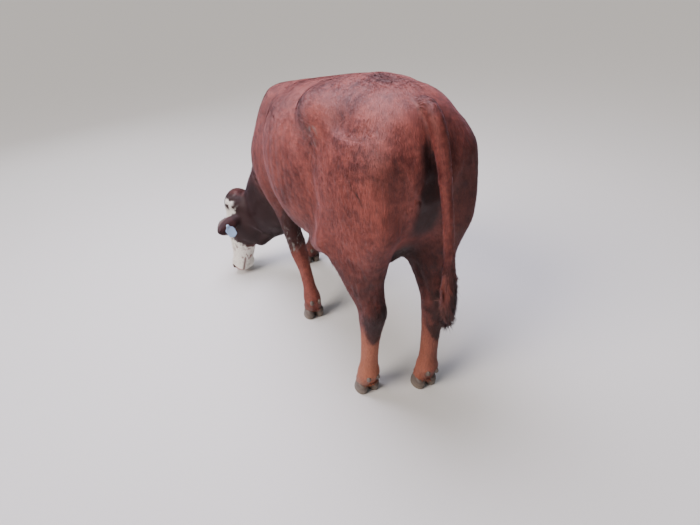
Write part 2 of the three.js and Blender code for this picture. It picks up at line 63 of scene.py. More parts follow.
bl_info = {
    "name": "Grazing Heifer",
    "version": (1, 0, 0),
    "blender": (4, 5, 0),
    "location": "3D View > Sidebar > Heifer",
    "description": "Builds the skin, coat, eyes, claws and tag of a grazing heifer round its solids",
    "category": "Mesh",
}

# ---- driving dimensions, mm

CENTRE = np.array([158.0, 89.4, 0.0])  # the middle of the animal's plan, at the frame's origin
MM = 1000.0  # millimetres to a metre

# Trunk, from the rump forward: x, centre height, up, down, half width, squareness.
TRUNK = [
    (-705, 1060, 60, 100, 80, 2.2),
    (-660, 1050, 155, 190, 145, 2.2),
    (-580, 1020, 245, 270, 205, 2.2),
    (-440, 980, 300, 340, 224, 2.25),
    (-280, 940, 338, 365, 238, 2.3),
    (-100, 920, 330, 390, 268, 2.3),
    (100, 890, 325, 385, 282, 2.2),
    (280, 880, 300, 365, 262, 2.1),
    (440, 860, 285, 335, 228, 2.1),
    (560, 820, 255, 290, 190, 2.1),
    (660, 760, 180, 205, 140, 2.1),
    (730, 720, 90, 100, 80, 2.1),
]
# Limbs, from the top down: height, x centre, y centre, front, back, outer, inner.
THIGH = [
    (1140, -460, 120, 160, 170, 90, 120),
    (980, -450, 150, 220, 240, 90, 120),
    (850, -430, 155, 225, 255, 86, 130),
    (750, -415, 155, 182, 225, 84, 120),
    (690, -425, 152, 140, 185, 76, 100),
    (645, -440, 150, 90, 130, 55, 70),
]
HIND_LEG = [
    (780, -430, 150, 90, 110, 52, 62),
    (720, -430, 150, 112, 145, 68, 84),
    (660, -435, 150, 116, 160, 78, 92),
    (580, -475, 145, 95, 112, 72, 73),
    (520, -515, 140, 77, 88, 60, 58),
    (470, -545, 135, 65, 78, 53, 50),
    (420, -550, 135, 56, 62, 48, 46),
    (340, -550, 135, 44, 46, 40, 40),
    (240, -550, 135, 38, 41, 36, 36),
    (160, -548, 135, 40, 44, 38, 38),
    (120, -545, 135, 45, 54, 45, 45),
    (85, -535, 135, 43, 43, 45, 45),
    (40, -520, 135, 52, 42, 50, 50),
]
SHOULDER = [
    (1100, 420, 90, 70, 70, 50, 50),
    (950, 460, 130, 130, 130, 80, 80),
    (820, 490, 155, 150, 150, 85, 90),
    (720, 470, 160, 140, 140, 85, 80),
    (660, 452, 160, 115, 115, 76, 70),
    (610, 440, 160, 76, 76, 52, 50),
]
FORELEG = [
    (740, 455, 160, 76, 80, 50, 50),
    (690, 450, 160, 100, 100, 68, 62),
    (630, 438, 160, 98, 97, 72, 64),
    (560, 430, 160, 73, 75, 58, 52),
    (460, 440, 155, 52, 55, 48, 44),
    (380, 445, 150, 48, 46, 47, 44),
    (330, 445, 150, 46, 41, 45, 42),
    (260, 438, 150, 35, 37, 34, 34),
    (180, 437, 150, 34, 38, 33, 33),
    (120, 437, 150, 43, 50, 43, 43),
    (85, 447, 150, 43, 42, 44, 44),
    (40, 463, 150, 50, 42, 49, 49),
]
LIMB_SQUARENESS = 2.15
STRIDE_TOP = 800.0  # a limb leans from here down
# Side, the two tables, and the foot's step forward and outward from under its limb.
LIMBS = {
    "hind_left": (1, HIND_LEG, THIGH, (110, -10)),
    "hind_right": (-1, HIND_LEG, THIGH, (20, -30)),
    "fore_left": (1, FORELEG, SHOULDER, (-250, -30)),
    "fore_right": (-1, FORELEG, SHOULDER, (310, -60)),
}
# Bones and soft parts that round the trunk out: centre, radii, fillet, and whether both sides have one.
SWELLS = [
    ((-250, 165, 1155), (120, 65, 70), 100, True),  # hook bones
    ((-630, 120, 1070), (60, 70, 80), 80, True),  # pin bones
    ((460, 75, 1020), (120, 90, 110), 80, True),  # shoulder blades
    ((600, 130, 740), (90, 80, 110), 80, True),  # points of the shoulder
    ((612, 5, 605), (115, 92, 102), 100, False),  # brisket
    ((-330, 10, 630), (110, 90, 70), 60, False),  # udder
]
# Folds of skin, as tapering rods: ends, radii, fillet.
FOLDS = [
    ((-330, 205, 705), (-150, 165, 610), (52, 34), 95),  # flanks
    ((-330, -205, 705), (-150, -165, 610), (52, 34), 95),
    ((765, 205, 224), (680, 92, 346), (36, 42), 95),  # throat
    ((680, 92, 346), (618, 20, 440), (42, 56), 95),  # dewlap
]
TEATS = [(-300, 38), (-300, -20), (-360, 38), (-360, -20)]
# Neck: along, crest side, throat side, half width.
NECK_ROOT = (500, 0, 800)
NECK_END = (790, 225, 360)
CREST_HINT = (600, 100, 790)
NECK = [
    (-160, 170, 250, 150),
    (0, 192, 265, 155),
    (160, 188, 250, 122),
    (320, 178, 225, 100),
    (460, 138, 180, 88),
    (560, 70, 100, 60),
]
# Head: along from the poll, centre, face side, jaw side, half width, squareness.
POLL = (849, 272, 466)
MUZZLE_WAY = (6, 10, -99)
FACE_WAY = (55, 83, 5)
HEAD = [
    (-42, -15, 35, 40, 45, 2.2),
    (-9, -10, 70, 85, 75, 2.3),
    (46, 0, 78, 105, 88, 2.3),
    (102, 0, 80, 118, 92, 2.4),
    (158, 0, 78, 122, 90, 2.4),
    (214, 0, 70, 110, 82, 2.4),
    (270, 0, 62, 90, 72, 2.4),
    (326, 0, 57, 74, 67, 2.3),
    (372, 0, 54, 65, 70, 2.4),
    (409, -2, 52, 60, 74, 2.4),
    (432, -4, 46, 51, 68, 2.4),
    (444, -6, 29, 34, 48, 2.3),
]
# Swellings of the head: along, to the face and to the side; radii; fillet.
BROW = ((140, 44, 68), (42, 30, 30), 35)
CHEEK = ((158, -45, 58), (75, 70, 40), 40)
TOPKNOT = ((-2, 36, 0), (54, 46, 74), 50)
# Ears: along, half thickness, half width.
EAR = [(0, 20, 24), (30, 18, 34), (65, 12, 46), (100, 10, 47), (140, 8, 34), (165, 6, 17), (175, 4, 6)]
EAR_ROOT = (80, -5, 78)
EAR_CUP = 16.0  # how deep the leaf is cupped where it is widest
EAR_WIDEST = 47
# Side, then how the ear runs out, fore and down, and how it opens out, fore and down.
EARS = {
    "left": (1, (0.92, 0.30, 0.14), (-0.34, 0.70, 0.67)),
    "right": (-1, (0.92, 0.22, 0.34), (0, 0.62, 0.5)),
}
EYE_AT = (138, 40)  # along the head, and to the face
EYE_RADIUS = 18.0
EYE_SHOWS = 7.0  # how far the ball stands out of the skull
SKULL_HALF = 150.0  # more than half the skull's width
# Tail: x, y, z, radius out to the tips of its hair.
TAIL = [
    (-560, 0, 1225, 30), (-640, -3, 1232, 34), (-695, -9, 1180, 35), (-722, -20, 1060, 32),
    (-734, -33, 900, 28), (-736, -43, 760, 27), (-730, -53, 640, 33), (-720, -61, 545, 35),
    (-712, -67, 485, 24), (-708, -70, 450, 6),
]
TAIL_RODS = 28  # it is measured as a chain of so many points
TAIL_BEHIND, TAIL_ABOVE = -380.0, 330.0  # and only behind this x and above this height
CLAW = {"length": 100, "width": 49, "height": 96, "lean": 34, "cleft": 5, "taper": 0.80}
CORONET = {"toe": 74, "heel": 40, "toe_at": 0.52}  # heights, and the toe's place along the claw

FLESH = ["trunk", "neck", "head", "tail", "ear_left", "ear_right"] + [f"leg_{name}" for name in LIMBS]

# ---- fields, negative inside


def unit(a):
    """Each vector over its own length."""
    a = np.asarray(a, float)
    return a / np.linalg.norm(a, axis=-1, keepdims=True)


def axes(origin, along, hint):
    """Origin, and rows along, up (as near the hint as can be), side = along x up."""
    s = unit(along)
    u = unit(np.asarray(hint, float) - s * np.dot(hint, s))
    return np.asarray(origin, float), np.stack([s, u, np.cross(s, u)])


def local(P, fr):
    """Points measured in a set of axes."""
    return (P - fr[0]) @ fr[1].T


def put(fr, a, b, c):
    """The point at three distances along a set of axes."""
    return fr[0] + np.array([a, b, c], float) @ fr[1]


def ease(t):
    """0 up to 0, 1 from 1 on, and 3 t squared less 2 t cubed between them."""
    t = np.clip(t, 0.0, 1.0)
    return t * t * (3 - 2 * t)


def curve(table):
    """A cubic through the rows: column 0 is the place; tangents are weighted slopes, flat at a turn."""
    rows = np.array(sorted(table), float)
    x, y = rows[:, 0], rows[:, 1:]
    h = np.diff(x)
    slope = np.diff(y, axis=0) / h[:, None]
    m = np.empty_like(y)
    m[0], m[-1] = slope[0], slope[-1]
    w = (h[1:] / (h[:-1] + h[1:]))[:, None]
    m[1:-1] = np.where(slope[:-1] * slope[1:] > 0, slope[:-1] * w + slope[1:] * (1 - w), 0)

    def read(at):
        q = np.clip(at, x[0], x[-1])
        i = np.clip(np.searchsorted(x, q, side="right") - 1, 0, len(h) - 1)
        t = ((q - x[i]) / h[i])[..., None]
        k = h[i][..., None]
        return (y[i] * (1 + 2 * t) * (1 - t) ** 2 + y[i + 1] * t * t * (3 - 2 * t)
                + k * (m[i] * t * (1 - t) ** 2 - m[i + 1] * t * t * (1 - t)))
    read.ends = (x[0], x[-1])
    read.most = y
    return read


CLOSE = 150.0  # past this a form is only felt as the distance to its box
FAR = 1e9  # stands for out of reach


def loft(fr, table):
    """Radial distance to a run of sections, each made of half super-ellipses about its own centre."""
    read = curve(table)
    c = read.most
    low = np.array([read.ends[0], (c[:, 0] - c[:, 3]).min(), (c[:, 1] - c[:, 5]).min()])
    high = np.array([read.ends[1], (c[:, 0] + c[:, 2]).max(), (c[:, 1] + c[:, 4]).max()])

    def field(P, warp=None):
        """Distance to the section's outline along the ray from its centre, or past the ends."""
        q = local(P, fr) if warp is None else warp(local(P, fr))
        f = np.linalg.norm(np.maximum(np.maximum(low - q, q - high), 0), axis=-1)
        near = f < CLOSE
        s, a, b = q[near].T
        cu, cv, up, down, plus, minus, n = read(s).T
        du, dv = a - cu, b - cv
        ru, rv = np.where(du > 0, up, down), np.where(dv > 0, plus, minus)
        rho = ((np.abs(du / ru) + 1e-9) ** n + (np.abs(dv / rv) + 1e-9) ** n) ** (1 / n)
        g = np.maximum(np.hypot(du, dv) * (1 - 1 / rho), -np.minimum(ru, rv))
        over = np.maximum(read.ends[0] - s, s - read.ends[1])
        f[near] = np.where(over > 0, np.hypot(np.maximum(g, 0), over), np.maximum(g, over))
        return f
    return field


def ellipsoid(centre, radii, turn=np.eye(3)):
    """Distance to an ellipsoid by its scaled length over the length of its gradient."""
    fr, r = (np.asarray(centre, float), turn), np.asarray(radii, float)

    def field(P):
        q = local(P, fr)
        k0 = np.linalg.norm(q / r, axis=-1)
        k1 = np.maximum(np.linalg.norm(q / r ** 2, axis=-1), 1e-9)
        return np.where(k0 > 1e-6, k0 * (k0 - 1) / k1, -r.min())
    return field


def rod(a, b, ra, rb):
    """Distance to a tapering rod with round ends."""
    a, b = np.asarray(a, float), np.asarray(b, float)
    d = b - a

    def field(P):
        t = np.clip((P - a) @ d / (d @ d), 0, 1)
        return np.linalg.norm(P - a - t[..., None] * d, axis=-1) - (ra + (rb - ra) * t)
    return field


def join(f, g, k):
    """The smaller of two fields, with a fillet k wide where they cross."""
    h = np.maximum(k - np.abs(f - g), 0) / k
    return np.minimum(f, g) - h * h * k / 4


def carve(f, g, k):
    """What is in f and not in g, with the edge rounded over a width k."""
    return -join(-f, g, k)


def melt(first, *others):
    """A form with others joined to it in turn, each with its own fillet."""
    def field(P):
        f = first(P)
        for other, k in others:
            f = join(f, other(P), k)
        return f
    return field


# ---- the animal's forms

FORWARD = axes((0, 0, 0), (1, 0, 0), (0, 0, 1))
UPWARD = axes((0, 0, 0), (0, 0, 1), (1, 0, 0))
NECK_AXES = axes(NECK_ROOT, np.subtract(NECK_END, NECK_ROOT), CREST_HINT)
HEAD_AXES = axes(POLL, MUZZLE_WAY, FACE_WAY)
HEAD_LEFT = -HEAD_AXES[1][2]


def lean(z, step):
    """How far a limb has leant towards its foot at a height."""
    return ease((STRIDE_TOP - z) / STRIDE_TOP)[..., None] * np.array([step[0], step[1], 0.0])


def limb(name, table):
    """A limb's sections stacked upward, mirrored on the right side and leant towards its foot."""
    side, _, _, step = LIMBS[name]
    rows = [(z, x, y, front, back, outer, inner, LIMB_SQUARENESS)
            for z, x, y, front, back, outer, inner in table]
    shape = loft(UPWARD, rows)

    def field(P):
        Q = P * np.array([1.0, side, 1.0])
        return shape(Q - lean(Q[..., 2], step))
    return field


def foot_of(name):
    """Where a foot stands: under its limb's lowest section, stepped out."""
    side, leg, _, step = LIMBS[name]
    _, x, y = leg[-1][:3]
    return np.array([x + step[0], (y + step[1]) * side, 0.0])


def hair_line(name, P):
    """Height above the slanting plane where the hair ends over the claws."""
    rise, toe = CORONET["toe"] - CORONET["heel"], CLAW["length"] * CORONET["toe_at"]
    n = unit([-rise, 0, CLAW["length"]])
    return (P - foot_of(name) - np.array([toe, 0, CORONET["toe"]])) @ n


def ear_axes(name):
    """Root of an ear, and its way out to the tip, out of its opening, and across."""
    side, run, opens = EARS[name]
    way = np.stack([HEAD_LEFT * side, HEAD_AXES[1][1], HEAD_AXES[1][0]])
    root = put(HEAD_AXES, EAR_ROOT[0], EAR_ROOT[1], 0) + way[0] * EAR_ROOT[2]
    return axes(root, np.array(run) @ way, np.array(opens) @ way)


def ear(name):
    """A cupped leaf: points are moved back by the cup before the flat leaf is measured."""
    shape = loft(ear_axes(name), [(s, 0, 0, t, t, w, w, 2.0) for s, t, w in EAR])
    wide = curve([(s, w) for s, _, w in EAR])

    def unbend(q):
        w = wide(q[..., 0])[..., 0]
        across = np.clip(np.abs(q[..., 2]) / w, 0, 1.3)
        cup = EAR_CUP * across ** 2 * np.clip(q[..., 0] / 60, 0, 1) * w / EAR_WIDEST
        return q - np.stack([0 * cup, cup, 0 * cup], -1)
    return lambda P: shape(P, unbend)


def tail_line(count):
    """Points and radii along the tail, evenly by row, on the tail table's own cubic."""
    t = np.linspace(0, len(TAIL) - 1, count)
    return curve([(i, *row) for i, row in enumerate(TAIL)])(t)


def tail(P):
    """Distance to a chain of tapering rods along the tail's line."""
    line = tail_line(TAIL_RODS)
    f = np.full(P.shape[:-1], FAR)
    near = (P[..., 0] < TAIL_BEHIND) & (P[..., 2] > TAIL_ABOVE)
    Q = P[near]
    g = np.full(len(Q), FAR)
    for a, b in zip(line[:-1], line[1:]):
        g = np.minimum(g, rod(a[:3], b[:3], a[3], b[3])(Q))
    f[near] = g
    return f


def swell(at, radii, fillet, side=1):
    """An ellipsoid of the trunk, on one side, and its fillet."""
    return ellipsoid((at[0], at[1] * side, at[2]), radii), fillet


def lump(at, radii, fillet, side=1):
    """An ellipsoid set along the head, on one side, and its fillet."""
    return ellipsoid(put(HEAD_AXES, at[0], at[1], at[2] * side), radii, HEAD_AXES[1]), fillet


folds_form = [(rod(a, b, *radii), fillet) for a, b, radii, fillet in FOLDS]
trunk_form = melt(
    loft(FORWARD, [(x, z, 0, up, down, w, w, n) for x, z, up, down, w, n in TRUNK]),
    *[swell(at, radii, fillet, side) for at, radii, fillet, paired in SWELLS
      for side in ((1, -1) if paired else (1,))],
    *folds_form[:2],
    *[(limb(name, LIMBS[name][2]), 60) for name in LIMBS],
)
neck_form = melt(
    loft(NECK_AXES, [(s, 0, 0, up, down, w, w, 2.1) for s, up, down, w in NECK]),
    *folds_form[2:],
)
skull = melt(
    loft(HEAD_AXES, [(s, c, 0, up, down, w, w, n) for s, c, up, down, w, n in HEAD]),
    *[lump(*form, side) for form in (BROW, CHEEK) for side in (1, -1)],
    lump(*TOPKNOT),
)
leg_forms = {name: limb(name, LIMBS[name][1]) for name in LIMBS}
ear_forms = {name: ear(name) for name in EARS}


def out_to(form, start, way, reach):
    """How far a ray from inside a form runs to its surface, by halving."""
    low, high = 0.0, reach
    for _ in range(24):
        middle = (low + high) / 2
        inside = form(np.array([start + way * middle]))[0] < 0
        low, high = (middle, high) if inside else (low, middle)
    return low


def eye_centre(side):
    """Middle of an eyeball, sunk so that a set part of it stands out of the skull."""
    inside = put(HEAD_AXES, EYE_AT[0], EYE_AT[1], 0)
    way = HEAD_LEFT * side
    return inside + way * (out_to(skull, inside, way, SKULL_HALF) + EYE_SHOWS - EYE_RADIUS)


EYES = {"left": eye_centre(1), "right": eye_centre(-1)}


def eye_axes(name):
    """Along the slit towards the muzzle, up to the brow, and outward."""
    side = EARS[name][0]
    s, u = HEAD_AXES[1][:2]
    out = unit(HEAD_LEFT * side + 0.22 * u + 0.05 * s)
    slit = unit(s - 0.32 * u - out * np.dot(s - 0.32 * u, out))
    return EYES[name], np.stack([slit, np.cross(out, slit) * side, out])


# Muzzle: the rods that hollow out a nostril, as ends along the head, to the face and to the side, and
# radii: the opening, then its tail back over the wing. The mouth: where the lips meet.
NOSTRIL = [((446, 8, 46), (410, 18, 34), 10.5, 7.5), ((436, 20, 54), (406, 38, 60), 7.5, 3.5)]
MOUTH = {"at": -24, "rise": 0.14, "corner": 338, "width": 3.4, "depth": 5.0, "chin": 5.5}
# Swellings of the muzzle, in the same way: centre, radii, fillet.
LIPS = [
    ((398, 38, 48), (34, 14, 20), 16),  # wings of the nostrils
    ((428, -2, 26), (20, 26, 36), 16),  # the upper lip
]
CHIN = ((402, -52, 0), (30, 18, 34), 14)
LID = {"thick": 4.6, "long": 17.0, "high": 10.0}  # of the lids and of the opening between them
LID_FOLD = {"long": 24, "high": 17, "width": 2.2, "depth": 1.6}  # the crease over the upper lid
TEAR_CORNER = ((15, -2, 15), (24, -5, 14), 2.4, 1.4)  # a rod that hollows the slit's corner


def opening(e):
    """Distance, seen along the gaze, to the oval opening between the lids; e is in the eye's own axes."""
    return (np.hypot(e[:, 0] / LID["long"], (e[:, 1] + 0.5) / LID["high"]) - 1) * LID["high"]


def mouth_line(s):
    """How far to the face side the lips meet, along the head."""
    return MOUTH["at"] - MOUTH["rise"] * (430 - s)


def head_form(P):
    """The skull with lids over the eyes, nostrils and their wings, lips, a mouth and a chin."""
    f = np.full(P.shape[:-1], FAR)
    q = local(P, HEAD_AXES)
    near = (np.abs(q[..., 0] - 200) < 420) & (np.abs(q[..., 1]) < 320) & (np.abs(q[..., 2]) < 300)
    Q, q = P[near], q[near]
    g = skull(Q)
    for name in EYES:
        e = local(Q, eye_axes(name))
        ball = np.linalg.norm(e, axis=-1)
        g = join(g, ball - (EYE_RADIUS + LID["thick"]), 16)
        round_lid = np.hypot(e[:, 0] / LID_FOLD["long"], (e[:, 1] - 1) / LID_FOLD["high"]) - 1
        crease = np.exp(-(round_lid * LID_FOLD["high"] / LID_FOLD["width"]) ** 2)
        g = g + LID_FOLD["depth"] * crease * ease((e[:, 1] + 4) / 10) * (ball < 40)
        g = carve(g, np.maximum(opening(e), np.maximum(3 - e[:, 2], ball - (EYE_RADIUS + 16))), 3)
        g = carve(g, np.maximum(rod(*TEAR_CORNER)(e), ball - 45), 2.5)
    s, u, v = q[:, 0], q[:, 1], np.abs(q[:, 2])
    w = np.stack([s, u, v], -1)
    for at, radii, fillet in LIPS:
        g = join(g, ellipsoid(at, radii)(w), fillet)
    below = u - mouth_line(s)
    front = ease((s - MOUTH["corner"]) / 40)
    g = g + MOUTH["chin"] * front * ease((4 - below) / 10)
    g = g + MOUTH["depth"] * np.exp(-(below / MOUTH["width"]) ** 2) * front
    g = join(g, ellipsoid(*CHIN[:2])(w), CHIN[2])
    for a, b, ra, rb in NOSTRIL:
        g = carve(g, rod(a, b, ra, rb)(w), 5)
    # the groove between the nostrils
    g = g + 1.8 * np.exp(-(v / 3.5) ** 2) * ease((s - 420) / 12) * ease((u + 22) / 8)
    f[near] = g
    return f


def slope(field, P, h=1.0):
    """The field and its gradient by forward differences."""
    f = field(P)
    g = np.stack([field(P + h * np.eye(3)[k]) - f for k in range(3)], -1) / h
    return f, g


def settle(field, P, rounds):
    """Newton steps onto the surface; returns the points and the outward normals."""
    for _ in range(rounds):
        f, g = slope(field, P)
        P = P - np.clip(f / np.maximum((g ** 2).sum(-1), 0.2), -12, 12)[:, None] * g
    return P, unit(slope(field, P)[1])

# ---- the skin's own relief


def mirrored(P):
    """The trunk is the same on both sides."""
    return P * np.array([1, 0, 1]) + np.abs(P) * np.array([0, 1, 0])


FLANK_LINE = [(-262, 243, 1100), (-254, 245, 1020), (-262, 247, 945), (-290, 255, 860)]
# Grooves (depth above 0) and ridges (below 0) of the skin: depth, half width, points.
TRUNK_RELIEF = [
    (9, 75, [(-100, 236, 1080), (-170, 232, 1090)]),  # hollow before the hip
    (9, 46, [(335, 225, 1060), (305, 262, 940), (300, 262, 800)]),  # behind the shoulder
    (8, 30, [(300, 258, 770), (380, 245, 665)]),  # under the upper arm
    (-5, 24, [(415, 130, 1110), (490, 205, 930), (550, 215, 800)]),  # ridge of the shoulder blade
    (8, 32, [(560, 130, 1010), (635, 185, 860), (645, 175, 740)]),  # before the shoulder
    (-14, 30, [(-330, 246, 705), (-240, 232, 655), (-140, 195, 600)]),  # fold of the flank
    (6.5, 32, FLANK_LINE),  # before the thigh
    (6, 26, [(-655, 125, 1010), (-612, 190, 880), (-560, 222, 760)]),  # between the thigh's muscles
    (3, 55, [(-340, 160, 1180), (-470, 150, 1160)]),  # rump, between the bones
    (11, 26, [(-600, 66, 1190), (-685, 72, 1105)]),  # beside the tail head
    (8, 46, [(-425, 214, 1146), (-552, 205, 1150), (-633, 173, 1151),  # the rump's brim, rounded
             (-668, 114, 1158)]),
    (30, 30, [(-700, 0, 985), (-680, 0, 860), (-640, 0, 740)]),  # between the thighs
    (-6, 10, [(-712, 14, 985), (-706, 11, 930)]),  # under the tail
    (3, 24, [(-500, 0, 1262), (100, 0, 1215)]),  # along the spine
    (7, 13, [(-235, 0, 545), (-430, 0, 570)]),  # between the udder's halves
    (-7, 20, [(650, 12, 560), (600, 14, 520), (520, 12, 520)]),  # the brisket's keel
    *[(2.6, 19, [(205 - 72 * k, 245, 1075), (185 - 72 * k, 280, 930), (192 - 72 * k, 262, 770)])
      for k in range(5)],  # between the ribs
]
# In a limb's own place, before it leans: x, distance from the middle plane, z.
HIND_RELIEF = [
    *[(8, 14, [(-503, y, 595), (-553, y2, 500)]) for y, y2 in ((208, 190), (84, 92))],  # the hock tendon
    (-6, 13, [(-594, 140, 565), (-608, 137, 515), (-604, 135, 470)]),
    *[(4, 9, [(-562, y, 405), (-562, y, 190)]) for y in (173, 97)],
    (7, 8, [(-492, 135, 95), (-474, 135, 50)]),
    (7, 8, [(-582, 135, 95), (-566, 135, 50)]),
    (3, 9, [(-530, 180, 88), (-505, 135, 97), (-530, 90, 88)]),
]
FORE_RELIEF = [
    (-11, 24, [(352, 182, 665), (346, 180, 630)]),  # point of the elbow
    (5, 14, [(398, 228, 600), (425, 205, 500)]),
    (-4, 17, [(488, 172, 388), (488, 168, 350)]),
    (-4, 17, [(488, 130, 388), (488, 132, 350)]),
    (-6, 13, [(402, 165, 382), (404, 162, 362)]),
    *[(4, 8, [(426, y, 305), (426, y, 180)]) for y in (184, 116)],
    (7, 8, [(490, 150, 95), (508, 150, 50)]),
    (7, 8, [(402, 150, 95), (420, 150, 50)]),
    (3, 9, [(450, 195, 88), (480, 150, 97), (450, 105, 88)]),
]
# Along the head, to the face, distance from the middle plane.
HEAD_RELIEF = [
    (-4, 10, [(160, 2, 94), (262, -8, 76)]),  # crest of the cheek
    (5, 15, [(232, 30, 68), (335, 22, 58)]),  # beside the bridge of the nose
    (8, 24, [(66, 42, 80), (88, 48, 82)]),  # the temple
    (5, 13, [(214, -38, 80), (232, -84, 48)]),  # before the cheek muscle
    (10, 20, [(150, -116, 0), (330, -76, 0)]),  # between the jaws
    (3, 7, [(398, -44, 46), (402, -54, 0)]),  # over the chin
    (2.2, 4, [(108, 62, 76), (122, 70, 66), (146, 68, 66)]),  # over the upper lid
    (1.8, 3.5, [(126, 14, 92), (146, 12, 94), (164, 18, 90)]),  # under the lower lid
]
# Along the neck, to its crest, to the animal's right.
NECK_RELIEF = [
    *[(8, 13, [(s - 25, 125, -85), (s, 15, -128), (s + 25, -110, -90)]) for s in (60, 140, 215, 285)],
    *[(6, 20, [(40, -125, 108 * side), (300, -112, 80 * side)]) for side in (-1, 1)],
]


STROKE_REACH = 2.4  # half widths from its line to where a stroke has faded away


def strokes(P, marks):
    """The sum over marks of depth x exp(-(distance to its line / half width) squared)."""
    out = np.zeros(P.shape[:-1])
    for depth, width, points in marks:
        line = np.array(points, float)
        low, high = line.min(0) - STROKE_REACH * width, line.max(0) + STROKE_REACH * width
        near = ((P > low) & (P < high)).all(-1)
        if not near.any():
            continue
        Q = P[near]
        d = np.full(len(Q), FAR)
        for a, b in zip(line[:-1], line[1:]):
            t = np.clip((Q - a) @ (b - a) / ((b - a) @ (b - a)), 0, 1)
            d = np.minimum(d, np.linalg.norm(Q - a - t[:, None] * (b - a), axis=-1))
        out[near] += depth * np.exp(-(d / width) ** 2)
    return out


HASH_STEP, HASH_MIX = np.uint64(0x9E3779B97F4A7C15), np.uint64(0xBF58476D1CE4E5B9)
HASH_TOP = 0xFFFFFF


def hash01(*whole):
    """A number from 0 to 1 for each set of whole numbers, the same on every run: each in turn is
    multiplied, folded in and shuffled, and the lowest bits are kept."""
    h = np.zeros(np.shape(whole[0]), np.uint64)
    for w in whole:
        h = h ^ (np.asarray(w).astype(np.int64).astype(np.uint64) * HASH_STEP)
        h = (h ^ (h >> np.uint64(29))) * HASH_MIX
        h = h ^ (h >> np.uint64(32))
    return (h & np.uint64(HASH_TOP)).astype(float) / HASH_TOP


def noise(P, size, seed=0):
    """Smooth noise from -1 to 1: eased blends of the eight hashed corners of a lattice cell."""
    q = P / size
    i = np.floor(q).astype(np.int64)
    t = ease(q - i)
    out = 0.0
    for corner in np.ndindex(2, 2, 2):
        w = np.prod(np.where(np.array(corner) == 1, t, 1 - t), axis=-1)
        out = out + w * hash01(*(i + corner).T, np.full(len(i), seed))
    return out * 2 - 1


# The hollow that the tail lies in, down the buttocks: behind this x and under this height.
TAIL_BED = {"depth": 15, "width": 17, "behind": -655, "under": 1190}
TEAT = {"root": 600, "tip": 548, "radii": (13, 8)}
FILLET = {"neck": 120, "head": 50, "leg": 50, "coronet": 6, "teat": 12, "ear": 22, "tail": 12}
COAT_DEPTH = {"trunk": 4.5, "neck": 5.5, "head": 2.0, "ear": 1.3, "tail": 12.0, "leg": 3.2, "foot": 2.0}


def skin(P):
    """The bare skin: every form drawn in by the depth of its coat, with the skin's relief."""
    d = COAT_DEPTH
    trunk = trunk_form(P) + d["trunk"] + strokes(mirrored(P), TRUNK_RELIEF)
    neck = neck_form(P) + d["neck"] + strokes(local(P, NECK_AXES), NECK_RELIEF)
    f = join(trunk, neck, FILLET["neck"])
    q = local(P, HEAD_AXES)
    q[..., 2] = np.abs(q[..., 2])
    f = join(f, head_form(P) + d["head"] + strokes(q, HEAD_RELIEF), FILLET["head"])
    for name, leg in leg_forms.items():
        side, _, _, step = LIMBS[name]
        Q = P * np.array([1.0, side, 1.0])
        Q = Q - lean(Q[..., 2], step)
        g = leg(P) + d["leg"] + (d["foot"] - d["leg"]) * ease((300 - P[..., 2]) / 200)
        g = g + strokes(Q, HIND_RELIEF if name.startswith("hind") else FORE_RELIEF)
        f = join(f, carve(g, hair_line(name, P), FILLET["coronet"]), FILLET["leg"])
    for x, y in TEATS:
        f = join(f, rod((x, y, TEAT["root"]), (x, y, TEAT["tip"]), *TEAT["radii"])(P), FILLET["teat"])
    for blade in ear_forms.values():
        f = join(f, blade(P) + d["ear"], FILLET["ear"])
    x, _, z = np.moveaxis(P, -1, 0)
    t = tail(P)
    hanging = ease((TAIL_BED["behind"] - x) / 25) * ease((TAIL_BED["under"] - z) / 60)
    f = f + TAIL_BED["depth"] * np.exp(-((t - 2) / TAIL_BED["width"]) ** 2) * hanging
    return join(f, t + d["tail"], FILLET["tail"])


# ---- from field to mesh

BLOCK = 6  # lattice steps to a block
SLACK = 12  # the field may be this far off the true distance, mm, and a quarter of a block
AWAY = 1e3  # stands for the field where the surface can't be; only its sign is used


def sample(field, lines):
    """The field on a lattice, worked out only in the blocks that its surface may pass through."""
    shape = [len(line) for line in lines]
    ends = [np.append(line[::BLOCK], line[-1]) if (len(line) - 1) % BLOCK else line[::BLOCK]
            for line in lines]
    low = np.stack(np.meshgrid(*[e[:-1] for e in ends], indexing="ij"), -1)
    high = np.stack(np.meshgrid(*[e[1:] for e in ends], indexing="ij"), -1)
    middle = ((low + high) / 2).reshape(-1, 3)
    reach = np.linalg.norm(high - low, axis=-1).ravel() / 2
    f = field(middle)
    near = (np.abs(f) < reach * 1.25 + SLACK).reshape(low.shape[:3])
    sign = np.sign(f).reshape(low.shape[:3])

    def spread(a):
        """Each block's value at every lattice point in it."""
        for k, n in enumerate(shape):
            a = np.repeat(a, BLOCK, axis=k)
            pad = n - a.shape[k]
            if pad > 0:
                a = np.concatenate([a, np.take(a, [-1] * pad, axis=k)], axis=k)
            a = np.take(a, range(n), axis=k)
        return a
    F = spread(sign) * AWAY
    at = np.argwhere(spread(near))
    P = np.stack([lines[k][at[:, k]] for k in range(3)], -1)
    F[tuple(at.T)] = field(P)
    return F


